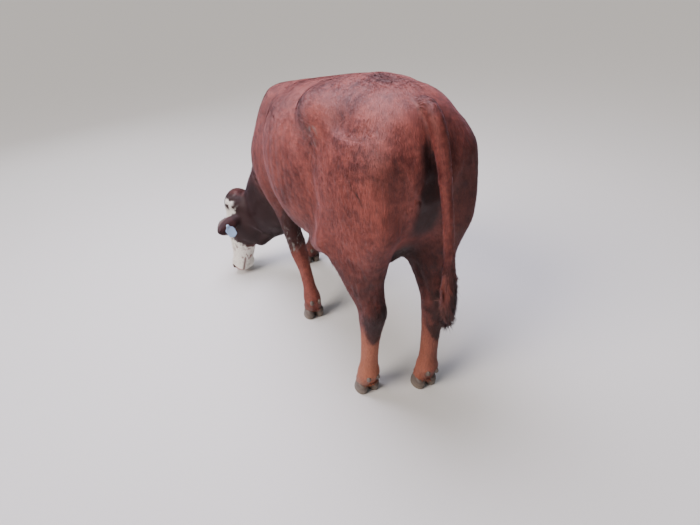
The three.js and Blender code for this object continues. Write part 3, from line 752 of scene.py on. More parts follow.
def surface_net(F, lines):
    """One vertex in each cell that the zero level crosses, at the mean of its edge crossings,
    and one quad round each lattice edge that it crosses."""
    inside = F < 0
    n = F.shape
    count = sum(inside[a:n[0] - 1 + a, b:n[1] - 1 + b, c:n[2] - 1 + c].astype(np.int8)
                for a, b, c in np.ndindex(2, 2, 2))
    cells = (count > 0) & (count < 8)
    index = np.full(cells.shape, -1, np.int64)
    I = np.argwhere(cells)
    index[cells] = np.arange(len(I))
    total, hits = np.zeros((len(I), 3)), np.zeros(len(I))
    for corner in np.ndindex(2, 2, 2):
        for axis in range(3):
            if corner[axis]:
                continue
            A = I + corner
            B = A.copy()
            B[:, axis] += 1
            fa, fb = F[tuple(A.T)], F[tuple(B.T)]
            m = (fa < 0) != (fb < 0)
            t = (fa[m] / (fa[m] - fb[m]))[:, None]
            pa = np.stack([lines[k][A[m, k]] for k in range(3)], 1)
            pb = np.stack([lines[k][B[m, k]] for k in range(3)], 1)
            total[m] += pa + (pb - pa) * t
            hits[m] += 1
    quads = []
    for axis in range(3):
        o1, o2 = (axis + 1) % 3, (axis + 2) % 3
        a = np.take(inside, range(n[axis] - 1), axis=axis)
        b = np.take(inside, range(1, n[axis]), axis=axis)
        E = np.argwhere(a != b)
        ring = []
        for d1, d2 in ((-1, -1), (0, -1), (0, 0), (-1, 0)):
            Q = E.copy()
            Q[:, o1] += d1
            Q[:, o2] += d2
            ring.append(index[tuple(Q.T)])
        q = np.stack(ring, 1)
        flip = ~a[tuple(E.T)]
        q[flip] = q[flip][:, ::-1]
        quads.append(q)
    return total / hits[:, None], np.concatenate(quads)


def to_frame(P):
    """From the animal's axes in millimetres to the frame in metres."""
    return (P - CENTRE) / MM


def to_animal(P):
    """From the frame in metres to the animal's axes in millimetres."""
    return np.asarray(P, float) * MM + CENTRE


def mesh_from(name, verts, faces, material):
    """A mesh object from whole arrays; faces are rows of one length, or a list of such arrays."""
    groups = faces if isinstance(faces, list) else [faces]
    data = bpy.data.meshes.new(name)
    loops = np.concatenate([g.ravel() for g in groups]).astype(np.int32)
    sizes = np.concatenate([np.full(len(g), g.shape[1]) for g in groups])
    data.vertices.add(len(verts))
    data.vertices.foreach_set("co", np.ascontiguousarray(verts, np.float32).ravel())
    data.loops.add(len(loops))
    data.loops.foreach_set("vertex_index", loops)
    data.polygons.add(len(sizes))
    data.polygons.foreach_set("loop_start", (np.cumsum(sizes) - sizes).astype(np.int32))
    data.update(calc_edges=True)
    data.polygons.foreach_set("use_smooth", np.ones(len(sizes), bool))
    data.materials.append(material)
    piece = bpy.data.objects.new(name, data)
    bpy.context.scene.collection.objects.link(piece)
    return piece


def part_from(name, verts, faces, material):
    """A piece of the heifer: it rides its one body."""
    piece = mesh_from(name, to_frame(verts), faces, material)
    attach(piece, "root")
    return piece


def shell(rings, low, high):
    """Points and faces of a closed shell: rings of points stacked from low to high, quads between
    neighbours, and a fan of triangles to a pole at each end."""
    levels, sides = rings.shape[:2]
    i, j = np.meshgrid(np.arange(levels - 1), np.arange(sides), indexing="ij")
    k = (j + 1) % sides
    walls = np.stack([i * sides + j, i * sides + k, (i + 1) * sides + k, (i + 1) * sides + j], -1)
    j, k, last = np.arange(sides), (np.arange(sides) + 1) % sides, (levels - 1) * sides
    pole = levels * sides
    ends = np.concatenate([np.stack([k, j, 0 * j + pole], -1),
                           np.stack([last + j, last + k, 0 * j + pole + 1], -1)])
    return np.concatenate([rings.reshape(-1, 3), [low, high]]), [walls.reshape(-1, 4), ends]


def face_out(piece):
    """Turns every face of a closed piece outward."""
    bm = bmesh.new()
    bm.from_mesh(piece.data)
    bmesh.ops.recalc_face_normals(bm, faces=bm.faces[:])
    bm.to_mesh(piece.data)
    bm.free()


def points_of(data):
    """A mesh's vertices, one row each."""
    P = np.empty(len(data.vertices) * 3, np.float32)
    data.vertices.foreach_get("co", P)
    return P.reshape(-1, 3).astype(float)


def give(data, name, kind, values):
    """A colour or vector for each vertex, from an array."""
    layer = data.attributes.new(name, kind, "POINT")
    layer.data.foreach_set("color" if kind == "FLOAT_COLOR" else "vector",
                           np.ascontiguousarray(values, np.float32).ravel())


# ---- markings, shared by skin and coat

# Shares of dark along lines: share, half width, points.
SCRATCHES = [(1.0, 4.5, [(-572, 233, 1026), (-585, 229, 1009), (-598, 226, 1004), (-611, 223, 987)]),
             (1.0, 4.0, [(-604, 225, 1003), (-622, 218, 975), (-633, 214, 963)])]
# Painted shade along the crease before the thigh.
FLANK_CREASE_SHADE = [(1.0, 12.0, FLANK_LINE)]
BRINDLE = np.array([1.0, 1.0, 0.4])  # the specks of the muzzle are drawn out down the hair
# The painted shadow in the cleft under the tail, as two rods melted together.
CLEFT_SHADOW = melt(rod((-700, 20, 1120), (-690, 0, 960), 8, 22),
             (rod((-690, 0, 960), (-650, -12, 720), 22, 48), 30))


def blob(P, centre, radii):
    """1 in the middle of an ellipsoid, 0 past its edge."""
    return ease(1.5 - 1.2 * np.linalg.norm((P - np.array(centre)) / np.array(radii), axis=-1))


def hock(name):
    """Behind and above the hock of a hind leg, where its curls grow."""
    side, leg, _, step = LIMBS[name]
    row = np.array(leg[5], float)
    x, y, _ = row[1:4] + lean(np.array([row[0]]), step)[0]
    return np.array([x - 55, y * side, row[0] - 60])


HOCKS = [hock(name) for name in ("hind_left", "hind_right")]


def ragged(P):
    """How far the edge of the white face strays at each point, mm."""
    return 15 * noise(P, 22, 1) + 9 * noise(P, 8, 2)


def white_share(P, q, on_head):
    """White of the face: down the middle from the poll, all round the muzzle past a slanting line,
    brindled at its edge, and in curls on the topknot; the rings round the eyes stay dark."""
    s, u, _ = q.T
    edge = ragged(P)
    face = ease((u - 14 + edge * 0.8 - 0.16 * (s - 120)) / 14)
    poll = ease((s - 6 + edge * 1.6) / 24)
    muzzle = ease((s - 232 + edge * 1.5 + 0.55 * u) / 18)
    curls = ease((noise(P, 24, 8) + 0.10) / 0.3) * ease((70 - s) / 40) * ease((u - 8) / 20)
    white = np.maximum(face * poll, muzzle)
    white = np.maximum(white * (1 - 0.75 * blob(q, TOPKNOT[0], (62, 90, 92))), 0.9 * curls)
    brindle = ease((noise(P * BRINDLE, 7.0, 3) + 0.5 * noise(P, 21, 4) - 0.32) / 0.3)
    brindle = brindle * ease((60 - u) / 60) * ease((400 - s) / 60) * ease((s - 200) / 40)
    round_eye = np.maximum.reduce([blob(P, EYES[n], (44, 44, 44)) for n in EYES])
    return on_head * white * (1 - 0.75 * brindle) * (1 - ease(round_eye * 1.4 + edge / 40))


def marks(P):
    """White, dark, bright and mud shares of the coat at points of the animal, each 0 to 1; the dark share
    holds painted shade as well as dark hair, and the bright share a painted highlight on the tail's edge.
    """
    q = local(P, HEAD_AXES)
    s = q[:, 0]
    on_head = ease((42 - skull(P) - 0.4 * ragged(P)) / 16) * ease((s + 60) / 25)
    white = white_share(P, q, on_head)
    leaf = {name: blade(P) for name, blade in ear_forms.items()}
    ears = np.maximum.reduce([ease((18 - f) / 12) for f in leaf.values()])
    inner = np.maximum.reduce([ease((4 - f) / 8) * ease((local(P, ear_axes(name))[:, 1] - 1) / 6)
                               for name, f in leaf.items()])
    for f in leaf.values():
        white = white * ease((f - 4) / 10)
    white = np.maximum(white, 0.22 * inner)

    x, y, z = P.T
    curl = 0.32 * noise(P, 34, 5) + 0.30 * noise(P, 13, 15)
    t = tail(P)
    behind = ease((-620 - x) / 40)
    along, crest, _ = local(P, NECK_AXES).T
    neck = ease((26 - neck_form(P)) / 30) * (x > 380)
    shade = ease((along + 30 - 0.45 * crest + 110 * noise(P, 90, 13) + 50 * noise(P, 36, 14)) / 420)
    # painted shade over the animal's right side, below the top of the back
    right = ease((-y - 10) / 110) * ease((1215 - z) / 120)
    hock_back = np.maximum.reduce([blob(P, at, (72, 66, 165)) for at in HOCKS])
    calves = np.maximum.reduce([blob(P, at + [50, 0, 185], (150, 110, 120)) for at in HOCKS])
    body_dark_and_shade = np.maximum.reduce([
        # the curls behind the hocks, the gaskins and the curls over the tail head
        0.92 * ease(hock_back * 1.15 + curl),
        0.75 * ease(calves + 1.6 * curl - 0.15),
        0.60 * ease(blob(P, (-410, 0, 1278), (105, 62, 45)) + curl * 1.6 - 0.2),
        # the neck's darker hair, deepened toward the throat by painted shade;
        # painted shade at the left elbow, between the foreleg and the belly, and between the thighs
        0.96 * neck * shade,
        0.85 * ease(blob(P, (330, 150, 480), (120, 100, 150)) * 1.2 + curl),
        0.9 * blob(P, (-400, 0, 690), (250, 125, 190)),
        # painted shade on the skin beside and under the tail, and in the cleft below it
        0.8 * ease((12 - t) / 10) * ease((t + 9) / 6) * behind * ease((1180 - z) / 60),
        0.9 * ease(1 - 0.8 * CLEFT_SHADOW(P) / 30) * ease((t - 1) / 6),
        # painted shade over the whole right side, and on the limbs below the trunk
        0.50 * right,
        0.52 * ease((820 - z) / 250) * ease((z - 330) / 120),
        # painted shade on the tail's right edge, and its dark switch
        0.95 * ease((-6 - t) / 4) * behind * ease((860 - z) / 260) * ease((16 - y - 0.1 * (1100 - z)) / 14),
        0.85 * ease((-4 - t) / 4) * behind * ease((700 - z) / 160),
        # broad soft patches, the scratches, and painted shade in the crease of the flank
        0.30 * ease(noise(P, 150, 9) * 1.2 - 0.05) * ease((z - 700) / 100),
        0.9 * strokes(P, SCRATCHES) * ease((noise(P, 9, 12) + 0.9) / 0.4),
        0.7 * strokes(P, FLANK_CREASE_SHADE) * ease((noise(P, 22, 16) + 0.6) / 0.5),
    ])
    # the head's red hair and the ears go near black: dark hair deepened by painted shade, the ears paler
    # inside
    dark = body_dark_and_shade * (1 - on_head) + 0.95 * on_head * ease((300 - s) / 60)
    dark = np.maximum(dark, 0.85 * ears) * (1 - 0.35 * inner)
    # the shanks' paler hair, and a painted highlight down the tail's left edge
    bright = np.maximum(ease((430 - z) / 120),
                        0.55 * ease((-4 - t) / 4) * behind * ease((y + 0.1 * (1100 - z) - 5) / 14))
    bright = bright * (1 - on_head) * (1 - ears) * (1 - 0.9 * ease(hock_back * 1.15 + curl))
    bright = bright * (1 - 0.8 * behind * ease((-4 - t) / 4) * ease((760 - z) / 160))
    # the shanks' bright hair dimmed on the right side, in painted shade
    bright = bright * ease((neck_form(P) + 5) / 12) * (1 - 0.80 * ease((x - 100) / 60)) * (1 - 0.6 * right)
    flake = ease((noise(P, 11, 6) + 0.5 * noise(P, 5, 10) - 0.25) / 0.2)
    mud = 0.95 * ease(blob(P, (302, 172, 425), (62, 60, 75)) * 1.6) * flake
    mud = np.maximum(mud, 0.5 * ease((120 - z) / 80) * ease(noise(P, 24, 7) + 0.4))
    mud = np.maximum(mud, 0.7 * ease(blob(P, (-298, 236, 1108), (34, 50, 40)) * 1.4) * flake)
    return np.clip(np.stack([white, dark, bright, mud], -1), 0, 1)


def bare(P):
    """Where the skin has no hair: the pad of the nose with the nostrils, the lips and the lids' rims
    as the first share; as the second, painted shade inside the nostrils and between the lips, and the
    lids' dark edges."""
    q = local(P, HEAD_AXES)
    s, u, v = q[:, 0], q[:, 1], np.abs(q[:, 2])
    w = np.stack([s, u, v], -1)
    above = u - mouth_line(s)
    pad = ease((s - 402 - 0.32 * (44 - u) + 2.5 * noise(P, 9, 41)) / 7) * ease(above / 4)
    holes = np.min([rod(a, b, ra, rb)(w) for a, b, ra, rb in NOSTRIL], axis=0)
    pad = np.maximum(pad, ease((9 - holes) / 5))
    front = ease((s - MOUTH["corner"]) / 10)
    lips = np.exp(-(above / 5.5) ** 2) * front
    rims = np.zeros(len(P))
    for name in EYES:
        e = local(P, eye_axes(name))
        rims = np.maximum(rims, ease((4.5 - opening(e)) / 3) * (np.linalg.norm(e, axis=1) < 32))
    near = ease((30 - skull(P)) / 8) * ease((s + 20) / 20)
    deep = np.maximum.reduce([ease((6.0 - holes) / 5), rims, 0.85 * np.exp(-(above / 1.8) ** 2) * front])
    return np.stack([np.maximum.reduce([pad, 0.9 * lips, rims]) * near, deep * near, 0 * s], -1)


# ---- materials


def linear(code):
    """A linear RGBA colour from an sRGB hex code."""
    c = np.array([int(code[i:i + 2], 16) for i in (0, 2, 4)]) / 255
    return (*np.where(c <= 0.04045, c / 12.92, ((c + 0.055) / 1.055) ** 2.4).tolist(), 1.0)


def fresh(name):
    """An empty material and its node tree."""
    material = bpy.data.materials.new(name)
    material.use_nodes = True
    material.node_tree.nodes.clear()
    return material, material.node_tree


def node(tree, kind, inputs=None, **settings):
    """Adds a node. Settings name its properties; each input is linked to an output or set to a value."""
    made = tree.nodes.new(kind)
    for key, value in settings.items():
        setattr(made, key, value)
    for key, value in (inputs or {}).items():
        if isinstance(value, bpy.types.NodeSocket):
            tree.links.new(value, made.inputs[key])
        else:
            made.inputs[key].default_value = value
    return made


def layered(tree, base, *layers):
    """A base colour with further colours laid over it in turn, each by its own share."""
    for share, colour in layers:
        base = node(tree, "ShaderNodeMix", {0: share, 6: base, 7: colour}, data_type="RGBA").outputs[2]
    return base


def surface(tree, inputs):
    """The finish: one Principled shader on the material's output."""
    shader = node(tree, "ShaderNodeBsdfPrincipled", inputs)
    node(tree, "ShaderNodeOutputMaterial", {"Surface": shader.outputs[0]})


def coat_colour(tree, tones):
    """The coat's colours: red with soft patches of age and sun some 140 mm across, broken up into wisps
    of 24 mm, then the marks that the mesh carries, painted shade and a painted highlight among them."""
    place = node(tree, "ShaderNodeTexCoord").outputs["Object"]
    patch = node(tree, "ShaderNodeTexNoise",
                 {"Vector": place, "Scale": 7.0, "Detail": 3.0, "Roughness": 0.6})
    wisp = node(tree, "ShaderNodeTexNoise",
                {"Vector": place, "Scale": 42.0, "Detail": 4.0, "Roughness": 0.65})
    both = node(tree, "ShaderNodeMath", {0: patch.outputs["Fac"], 1: wisp.outputs["Fac"]},
                operation="MULTIPLY")
    worn = node(tree, "ShaderNodeMapRange", {"Value": both.outputs[0], "From Min": 0.12, "From Max": 0.38})
    shares = node(tree, "ShaderNodeAttribute", attribute_name="Marks")
    part = node(tree, "ShaderNodeSeparateColor", {"Color": shares.outputs["Color"]})
    return place, layered(tree, tones.red, (worn.outputs[0], tones.deep),
                          (part.outputs["Green"], tones.dark), (part.outputs["Blue"], tones.bright),
                          (shares.outputs["Alpha"], tones.mud), (part.outputs["Red"], tones.white))


def skin_material(tones):
    """Short summer hair lying flat on the hide, dull with a soft sheen: streaks 17 mm long and 2.4 mm
    across, wider than a hair so that they show. The bare nose is moist, in pebbles of 3 mm and mottled
    over 10 mm."""
    material, tree = fresh("hide_short_hair")
    place, colour = coat_colour(tree, tones)
    streaks = []
    for stretch in ((60, 420, 420), (420, 420, 60)):  # along the trunk, and down the limbs
        along = node(tree, "ShaderNodeMapping", {"Vector": place, "Scale": stretch})
        streaks.append(node(tree, "ShaderNodeTexNoise",
                            {"Vector": along.outputs[0], "Scale": 1.0, "Detail": 3.0}))
    height = node(tree, "ShaderNodeSeparateXYZ", {"Vector": place})
    low = node(tree, "ShaderNodeMapRange", {"Value": height.outputs["Z"], "From Min": 0.75, "From Max": 0.55})
    hair = node(tree, "ShaderNodeMix", {0: low.outputs[0], 2: streaks[0].outputs["Fac"],
                                        3: streaks[1].outputs["Fac"]})
    bump = node(tree, "ShaderNodeBump", {"Height": hair.outputs[0], "Strength": 0.5, "Distance": 0.002})
    shade = node(tree, "ShaderNodeMapRange", {"Value": hair.outputs[0], "To Min": 0.85, "To Max": 1.12})
    toned = node(tree, "ShaderNodeVectorMath", {0: colour, 1: shade.outputs[0]}, operation="MULTIPLY")
    share = node(tree, "ShaderNodeSeparateXYZ",
                 {"Vector": node(tree, "ShaderNodeAttribute", attribute_name="Bare").outputs["Vector"]})
    mottle = node(tree, "ShaderNodeTexNoise", {"Vector": place, "Scale": 95.0, "Detail": 3.0})
    pebble = node(tree, "ShaderNodeTexVoronoi", {"Vector": place, "Scale": 330.0})
    # the bare nose, mottled paler, with painted shade inside the nostrils and between the lips
    flesh = layered(tree, tones.nose, (mottle.outputs["Fac"], tones.nose_pale),
                    (share.outputs["Y"], tones.depth))
    pad = node(tree, "ShaderNodeBump",
               {"Height": pebble.outputs["Distance"], "Strength": 0.5, "Distance": 0.0012})
    rough = node(tree, "ShaderNodeMapRange", {"Value": share.outputs["X"], "To Min": 0.62, "To Max": 0.30})
    way = node(tree, "ShaderNodeMix", {0: share.outputs["X"], 4: bump.outputs[0], 5: pad.outputs[0]},
               data_type="VECTOR")
    surface(tree, {"Base Color": layered(tree, toned.outputs[0], (share.outputs["X"], flesh)),
                   "Normal": way.outputs[1], "Roughness": rough.outputs[0],
                   "Specular IOR Level": 0.35, "Sheen Weight": 0.14, "Sheen Roughness": 0.4,
                   "Sheen Tint": tones.sheen})
    return material


def hair_material(tones):
    """Locks of short hair: fine lines along each, darker at the root and lighter to the tip in painted
    shade and highlight, each lock a little lighter or darker than the next; a soft sheen where the
    light grazes them."""
    material, tree = fresh("coat_hair")
    _, colour = coat_colour(tree, tones)
    strand = node(tree, "ShaderNodeAttribute", attribute_name="Strand").outputs["Vector"]
    part = node(tree, "ShaderNodeSeparateXYZ", {"Vector": strand})
    seed = node(tree, "ShaderNodeVectorMath", {0: strand, 1: (0.9, 3.5, 97.0)}, operation="MULTIPLY")
    lines = node(tree, "ShaderNodeTexNoise", {"Vector": seed.outputs[0], "Scale": 1.6, "Detail": 2.0})
    # root to tip in painted shade and highlight; then each lock's tint and its fine lines
    shade = [node(tree, "ShaderNodeMapRange", {"Value": value, "To Min": low, "To Max": high}).outputs[0]
             for value, low, high in ((part.outputs["X"], 0.88, 1.06), (part.outputs["Z"], 0.86, 1.16),
                                      (lines.outputs["Fac"], 0.80, 1.20))]
    for factor in shade:
        colour = node(tree, "ShaderNodeVectorMath", {0: colour, 1: factor}, operation="MULTIPLY").outputs[0]
    bump = node(tree, "ShaderNodeBump",
                {"Height": lines.outputs["Fac"], "Strength": 0.35, "Distance": 0.001})
    surface(tree, {"Base Color": colour, "Normal": bump.outputs[0], "Roughness": 0.55,
                   "Specular IOR Level": 0.30, "Sheen Weight": 0.20, "Sheen Roughness": 0.35,
                   "Sheen Tint": tones.sheen})
    return material


def lash_material(tones):
    """Lashes: coarse dark hair with a soft shine."""
    material, tree = fresh("lash_hair")
    surface(tree, {"Base Color": tones.lash, "Roughness": 0.4})
    return material


def eye_material(tones):
    """A dark brown cow's eye: a long blue-black pupil, a fibrous iris and a wet clear front."""
    material, tree = fresh("eye_wet")
    gaze = node(tree, "ShaderNodeAttribute", attribute_name="Gaze").outputs["Vector"]
    squash = node(tree, "ShaderNodeVectorMath", {0: gaze, 1: (1 / tones.pupil_long, 1 / tones.pupil_high, 0)},
                  operation="MULTIPLY")
    oval = node(tree, "ShaderNodeVectorMath", {0: squash.outputs[0]}, operation="LENGTH")
    round_pupil = node(tree, "ShaderNodeMapRange",
                       {"Value": oval.outputs["Value"], "From Min": 0.92, "From Max": 1.08})
    ahead = node(tree, "ShaderNodeSeparateXYZ", {"Vector": gaze}).outputs["Z"]
    white = node(tree, "ShaderNodeMapRange", {"Value": ahead, "From Min": 0.40, "From Max": 0.28})
    fibres = node(tree, "ShaderNodeTexNoise", {"Vector": gaze, "Scale": 9.0, "Detail": 4.0})
    iris = layered(tree, tones.iris, (fibres.outputs["Fac"], tones.iris_pale))
    colour = layered(tree, tones.pupil, (round_pupil.outputs[0], iris), (white.outputs[0], tones.white))
    surface(tree, {"Base Color": colour, "Roughness": 0.12, "Coat Weight": 1.0, "Coat Roughness": 0.03})
    return material


def horn_material(tones):
    """Hoof horn: dark keratin with paler growth bands 5 mm deep, grained down its wall in tubules drawn
    2 mm wide so that they show, and dusty low down."""
    material, tree = fresh("hoof_horn")
    place = node(tree, "ShaderNodeTexCoord").outputs["Object"]
    flat = node(tree, "ShaderNodeMapping", {"Vector": place, "Scale": (18, 18, 190)})
    bands = node(tree, "ShaderNodeTexNoise", {"Vector": flat.outputs[0], "Scale": 1.0, "Detail": 3.0})
    wall = node(tree, "ShaderNodeMapping", {"Vector": place, "Scale": (520, 520, 30)})
    tubules = node(tree, "ShaderNodeTexNoise", {"Vector": wall.outputs[0], "Scale": 1.0, "Detail": 2.0})
    height = node(tree, "ShaderNodeSeparateXYZ", {"Vector": place}).outputs["Z"]
    dust = node(tree, "ShaderNodeMapRange",
                {"Value": height, "From Min": 0.035, "From Max": 0.0, "To Max": 0.55})
    colour = layered(tree, tones.dark, (bands.outputs["Fac"], tones.pale), (dust.outputs[0], tones.dust))
    bump = node(tree, "ShaderNodeBump",
                {"Height": tubules.outputs["Fac"], "Strength": 0.25, "Distance": 0.001})
    surface(tree, {"Base Color": colour, "Normal": bump.outputs[0], "Roughness": 0.48})
    return material


def plastic_material(tones):
    """Moulded polyurethane: pale blue-grey, satin, chalky in patches of 18 mm, with 1 mm scuffs."""
    material, tree = fresh("tag_polyurethane")
    place = node(tree, "ShaderNodeTexCoord").outputs["Object"]
    wear = node(tree, "ShaderNodeTexNoise", {"Vector": place, "Scale": 55.0, "Detail": 5.0})
    scuff = node(tree, "ShaderNodeTexNoise", {"Vector": place, "Scale": 900.0, "Detail": 2.0})
    bump = node(tree, "ShaderNodeBump",
                {"Height": scuff.outputs["Fac"], "Strength": 0.12, "Distance": 0.0005})
    surface(tree, {"Base Color": layered(tree, tones.plain, (wear.outputs["Fac"], tones.worn)),
                   "Normal": bump.outputs[0], "Roughness": 0.42})
    return material


# ---- skin

FINE = ((672, 1090), (60, 510), (0, 545))  # x, y and z ranges where the lattice is finer, mm
MARGIN = 15.0  # of the lattice round the solids' box


def steps(low, high, coarse, fine, span):
    """Lattice lines from low to high, at the coarse step but for the span at the fine one."""
    a = np.arange(low, max(span[0], low), coarse)
    b = np.arange(max(span[0], low), span[1], fine)
    return np.concatenate([a, b, np.arange(b[-1] + fine, max(high, b[-1] + 2 * fine), coarse)])


def refine(piece, tests):
    """Cuts each edge near a place in two, once for each (places, radius), and keeps the surface closed."""
    bm = bmesh.new()
    bm.from_mesh(piece.data)
    for centres, radius in tests:
        P = to_animal(np.array([v.co[:] for v in bm.verts]))
        near = np.min([np.linalg.norm(P - c, axis=1) for c in centres], axis=0) < radius
        bm.edges.ensure_lookup_table()
        chosen = [e for e in bm.edges if near[e.verts[0].index] and near[e.verts[1].index]]
        bmesh.ops.subdivide_edges(bm, edges=chosen, cuts=1, use_grid_fill=True)
        bm.verts.index_update()
    bm.to_mesh(piece.data)
    bm.free()


def make_skin(material, sizes):
    """The zero level of the skin's field on a lattice, cut finer and settled again round the eyes,
    nose, mouth and ears. It replaces every solid of flesh."""
    low, high = to_animal(CAD_BOX[0]) - MARGIN, to_animal(CAD_BOX[1]) + MARGIN
    step = (sizes.coarse * MM, sizes.fine * MM)
    lines = [steps(low[k], high[k], *step, FINE[k]) for k in range(3)]
    verts, quads = surface_net(sample(skin, lines), lines)
    verts, _ = settle(skin, verts, 2)
    piece = part_from("heifer_skin", verts, quads, material)
    face = [put(HEAD_AXES, 420, 24, 54 * side) for side in (1, -1)]
    mouth = [put(HEAD_AXES, s, mouth_line(s) + 6, v) for s in (345, 375, 405, 430)
             for v in (-58, -20, 20, 58)]
    leaves = [put(ear_axes(name), s, 0, 0) for name in EARS for s in (60, 90, 120, 150, 175)]
    eyes = list(EYES.values())
    refine(piece, [(eyes, 46), (face + mouth, 40), (leaves, 46), (eyes, 31), (face, 27)])
    P = to_animal(points_of(piece.data))
    q = local(P, HEAD_AXES)
    fine = (q[:, 0] > -60) & (q[:, 0] < 460) & (np.abs(q[:, 1]) < 200) & (np.abs(q[:, 2]) < 280)
    P[fine] = settle(skin, P[fine], 3)[0]
    piece.data.vertices.foreach_set("co", to_frame(P).astype(np.float32).ravel())
    piece.data.update()
    give(piece.data, "Marks", "FLOAT_COLOR", marks(P))
    give(piece.data, "Bare", "FLOAT_VECTOR", bare(P))
    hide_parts(*FLESH)
    return piece


# ---- the lie of the coat


def blend_ways(P, ways):
    """The mean of directions, each weighted by its own share at each point."""
    total = np.zeros(P.shape)
    for share, way in ways:
        total += share[:, None] * way
    return total


WHORL = (96, 60, 0)  # on the forehead: along the head, to the face and to the side
LIE_STEPS = 40  # places along the tail where the way of its hair is read


def lie(P, N):
    """The direction in which the hair lies: back and down the trunk, down the limbs and tail,
    from the head along the neck, and from a whorl between the eyes over the face."""
    x, y, z = P.T
    ones = np.ones(len(P))
    down = np.array([0.0, 0.0, -1.0])
    top = ease((N[:, 2] - 0.45) / 0.5)
    level = ease((1150 - z) / 260) * 0.75
    outward = 0.55 * np.sign(y) * ease(np.abs(y) / 110) * top
    flow = np.stack([-ones, outward, -level], -1)
    rump = ease((-150 - x) / 480)
    rear = np.stack([-0.35 - 0.5 * top, outward, -1 + 0.8 * top], -1)
    leg = ease((690 - z) / 190)
    q = local(P, HEAD_AXES)
    s, _, v = q.T
    head = ease((46 - skull(P)) / 30) * ease((s + 40) / 30)
    n = local(P, NECK_AXES)
    neck = ease((n[:, 0] + 30) / 150) * (1 - head) * ease((x - 520) / 60)
    toward_trunk = unit(-NECK_AXES[1][0] + 0.25 * down)
    from_whorl = (q - np.array(WHORL)) @ HEAD_AXES[1]
    cheek = unit(-0.75 * HEAD_AXES[1][0] - 0.65 * HEAD_AXES[1][1])
    side = ease((np.abs(v) - 40) / 30) * ease((230 - s) / 70)
    face = unit(from_whorl) * (1 - side)[:, None] + cheek * side[:, None]
    way = blend_ways(P, [
        ((1 - rump) * (1 - leg) * (1 - neck) * (1 - head), flow),
        (rump * (1 - leg) * (1 - head), rear),
        (leg * (1 - neck) * (1 - head), down),
        (neck, toward_trunk),
        (head, face),
    ])
    line = tail_line(LIE_STEPS)[:, :3]
    on_tail = (tail(P) < -2) & (x < -560)
    if on_tail.any():
        near = np.argmin(np.linalg.norm(P[on_tail][:, None] - line[None], axis=-1), axis=1)
        way[on_tail] = unit(np.gradient(line, axis=0))[near]
    way = way + np.cross(N, way) * (noise(P, 120, 11)[:, None] * 0.14)  # a slow swirl
    return unit(way - N * (way * N).sum(-1, keepdims=True))


# ---- coat

# A lock's shape: how far along it is widest, and its thickness there as a share of its width.
LOCK_WIDEST, LOCK_THICK = 0.40, 0.30
# Its faces over the root, the three corners of its widest part and the tip; the last two face the skin.
LOCK_FACES = np.array([(0, 1, 2), (0, 2, 3), (2, 1, 4), (3, 2, 4), (0, 3, 1), (1, 3, 4)])
LOCK_ALONG = np.array([0, LOCK_WIDEST, LOCK_WIDEST, LOCK_WIDEST, 1.0])
LOCK_ACROSS = np.array([0, 1.0, 0, -1.0, 0])
LOCK_UP = np.array([1.0, 0.8, 1.0, 0.8, 1.0])
LOCK_ROOT = 1.0  # how far its root is sunk in the skin, mm
LOCK_TURN = 5.0  # how far its side wave turns from root to tip, radians
ROUND = 0.75  # how round a lock is shaded across: 0 shades it as the skin under it


def locks(roots, ways, normals, length, width, lift, curl, phase, tips, drop=0.0):
    """Tapering three-sided locks of hair: each leaves the skin at its lift angle and bends back
    along the body, with a sideways wave; a root, a triangle where it is widest and a tip make it.
    The drop is how far the skin falls away under the tip; the lock follows it as a parabola does.
    The third result is each face corner's shading normal: near the skin's above, its opposite below."""
    side = np.cross(ways, normals)
    count = len(roots)
    verts = np.empty((count, len(LOCK_ALONG), 3))
    sway = curl * np.sin(phase + LOCK_WIDEST * LOCK_TURN) - curl * np.sin(phase)
    rise = lift * length * (LOCK_WIDEST - 0.45 * LOCK_WIDEST ** 2) - LOCK_ROOT - drop * LOCK_WIDEST ** 2
    middle = roots + ways * (length * LOCK_WIDEST)[:, None] + side * sway[:, None] + normals * rise[:, None]
    verts[:, 0] = roots - normals * LOCK_ROOT
    verts[:, 1] = middle + side * (width / 2)[:, None]
    verts[:, 2] = middle + normals * (width * LOCK_THICK)[:, None]
    verts[:, 3] = middle - side * (width / 2)[:, None]
    sway = curl * np.sin(phase + LOCK_TURN) - curl * np.sin(phase)
    verts[:, 4] = roots + ways * length[:, None] + side * sway[:, None] + normals * (tips - drop)[:, None]
    above = unit(normals[:, None] * LOCK_UP[:, None] + side[:, None] * (LOCK_ACROSS * ROUND)[:, None])
    below = unit(side[:, None] * (LOCK_ACROSS * ROUND)[:, None] - normals[:, None])
    facing = np.concatenate([above[:, LOCK_FACES[:4]], below[:, LOCK_FACES[4:]]], axis=1)
    faces = (LOCK_FACES[None] + len(LOCK_ALONG) * np.arange(count)[:, None, None]).reshape(-1, 3)
    return verts, faces, facing


PATCH = 0.003  # a lock's share of the unwrap
DROP_MOST = 9.0  # the most that a lock bends to follow the skin, mm
MARKED_AT = 8  # how far along from its root a lock takes its colour, mm
MOST_TRIANGLES = 200000
COAT_SEED, CLUMP_SEED = 100, 60


def clump(P, W, size, share, seed):
    """Turns the hair towards the middle of its own clump: cells of the given size each have a
    middle moved by a hash, and a share of the way to that middle, one length on, is added."""
    cell = np.floor(P / size).astype(np.int64)
    middle = (cell + 0.5 + 0.6 * np.stack([hash01(*cell.T, np.full(len(P), seed + k)) - 0.5
                                           for k in range(3)], -1)) * size
    return W + (middle - P) / size * share[:, None]


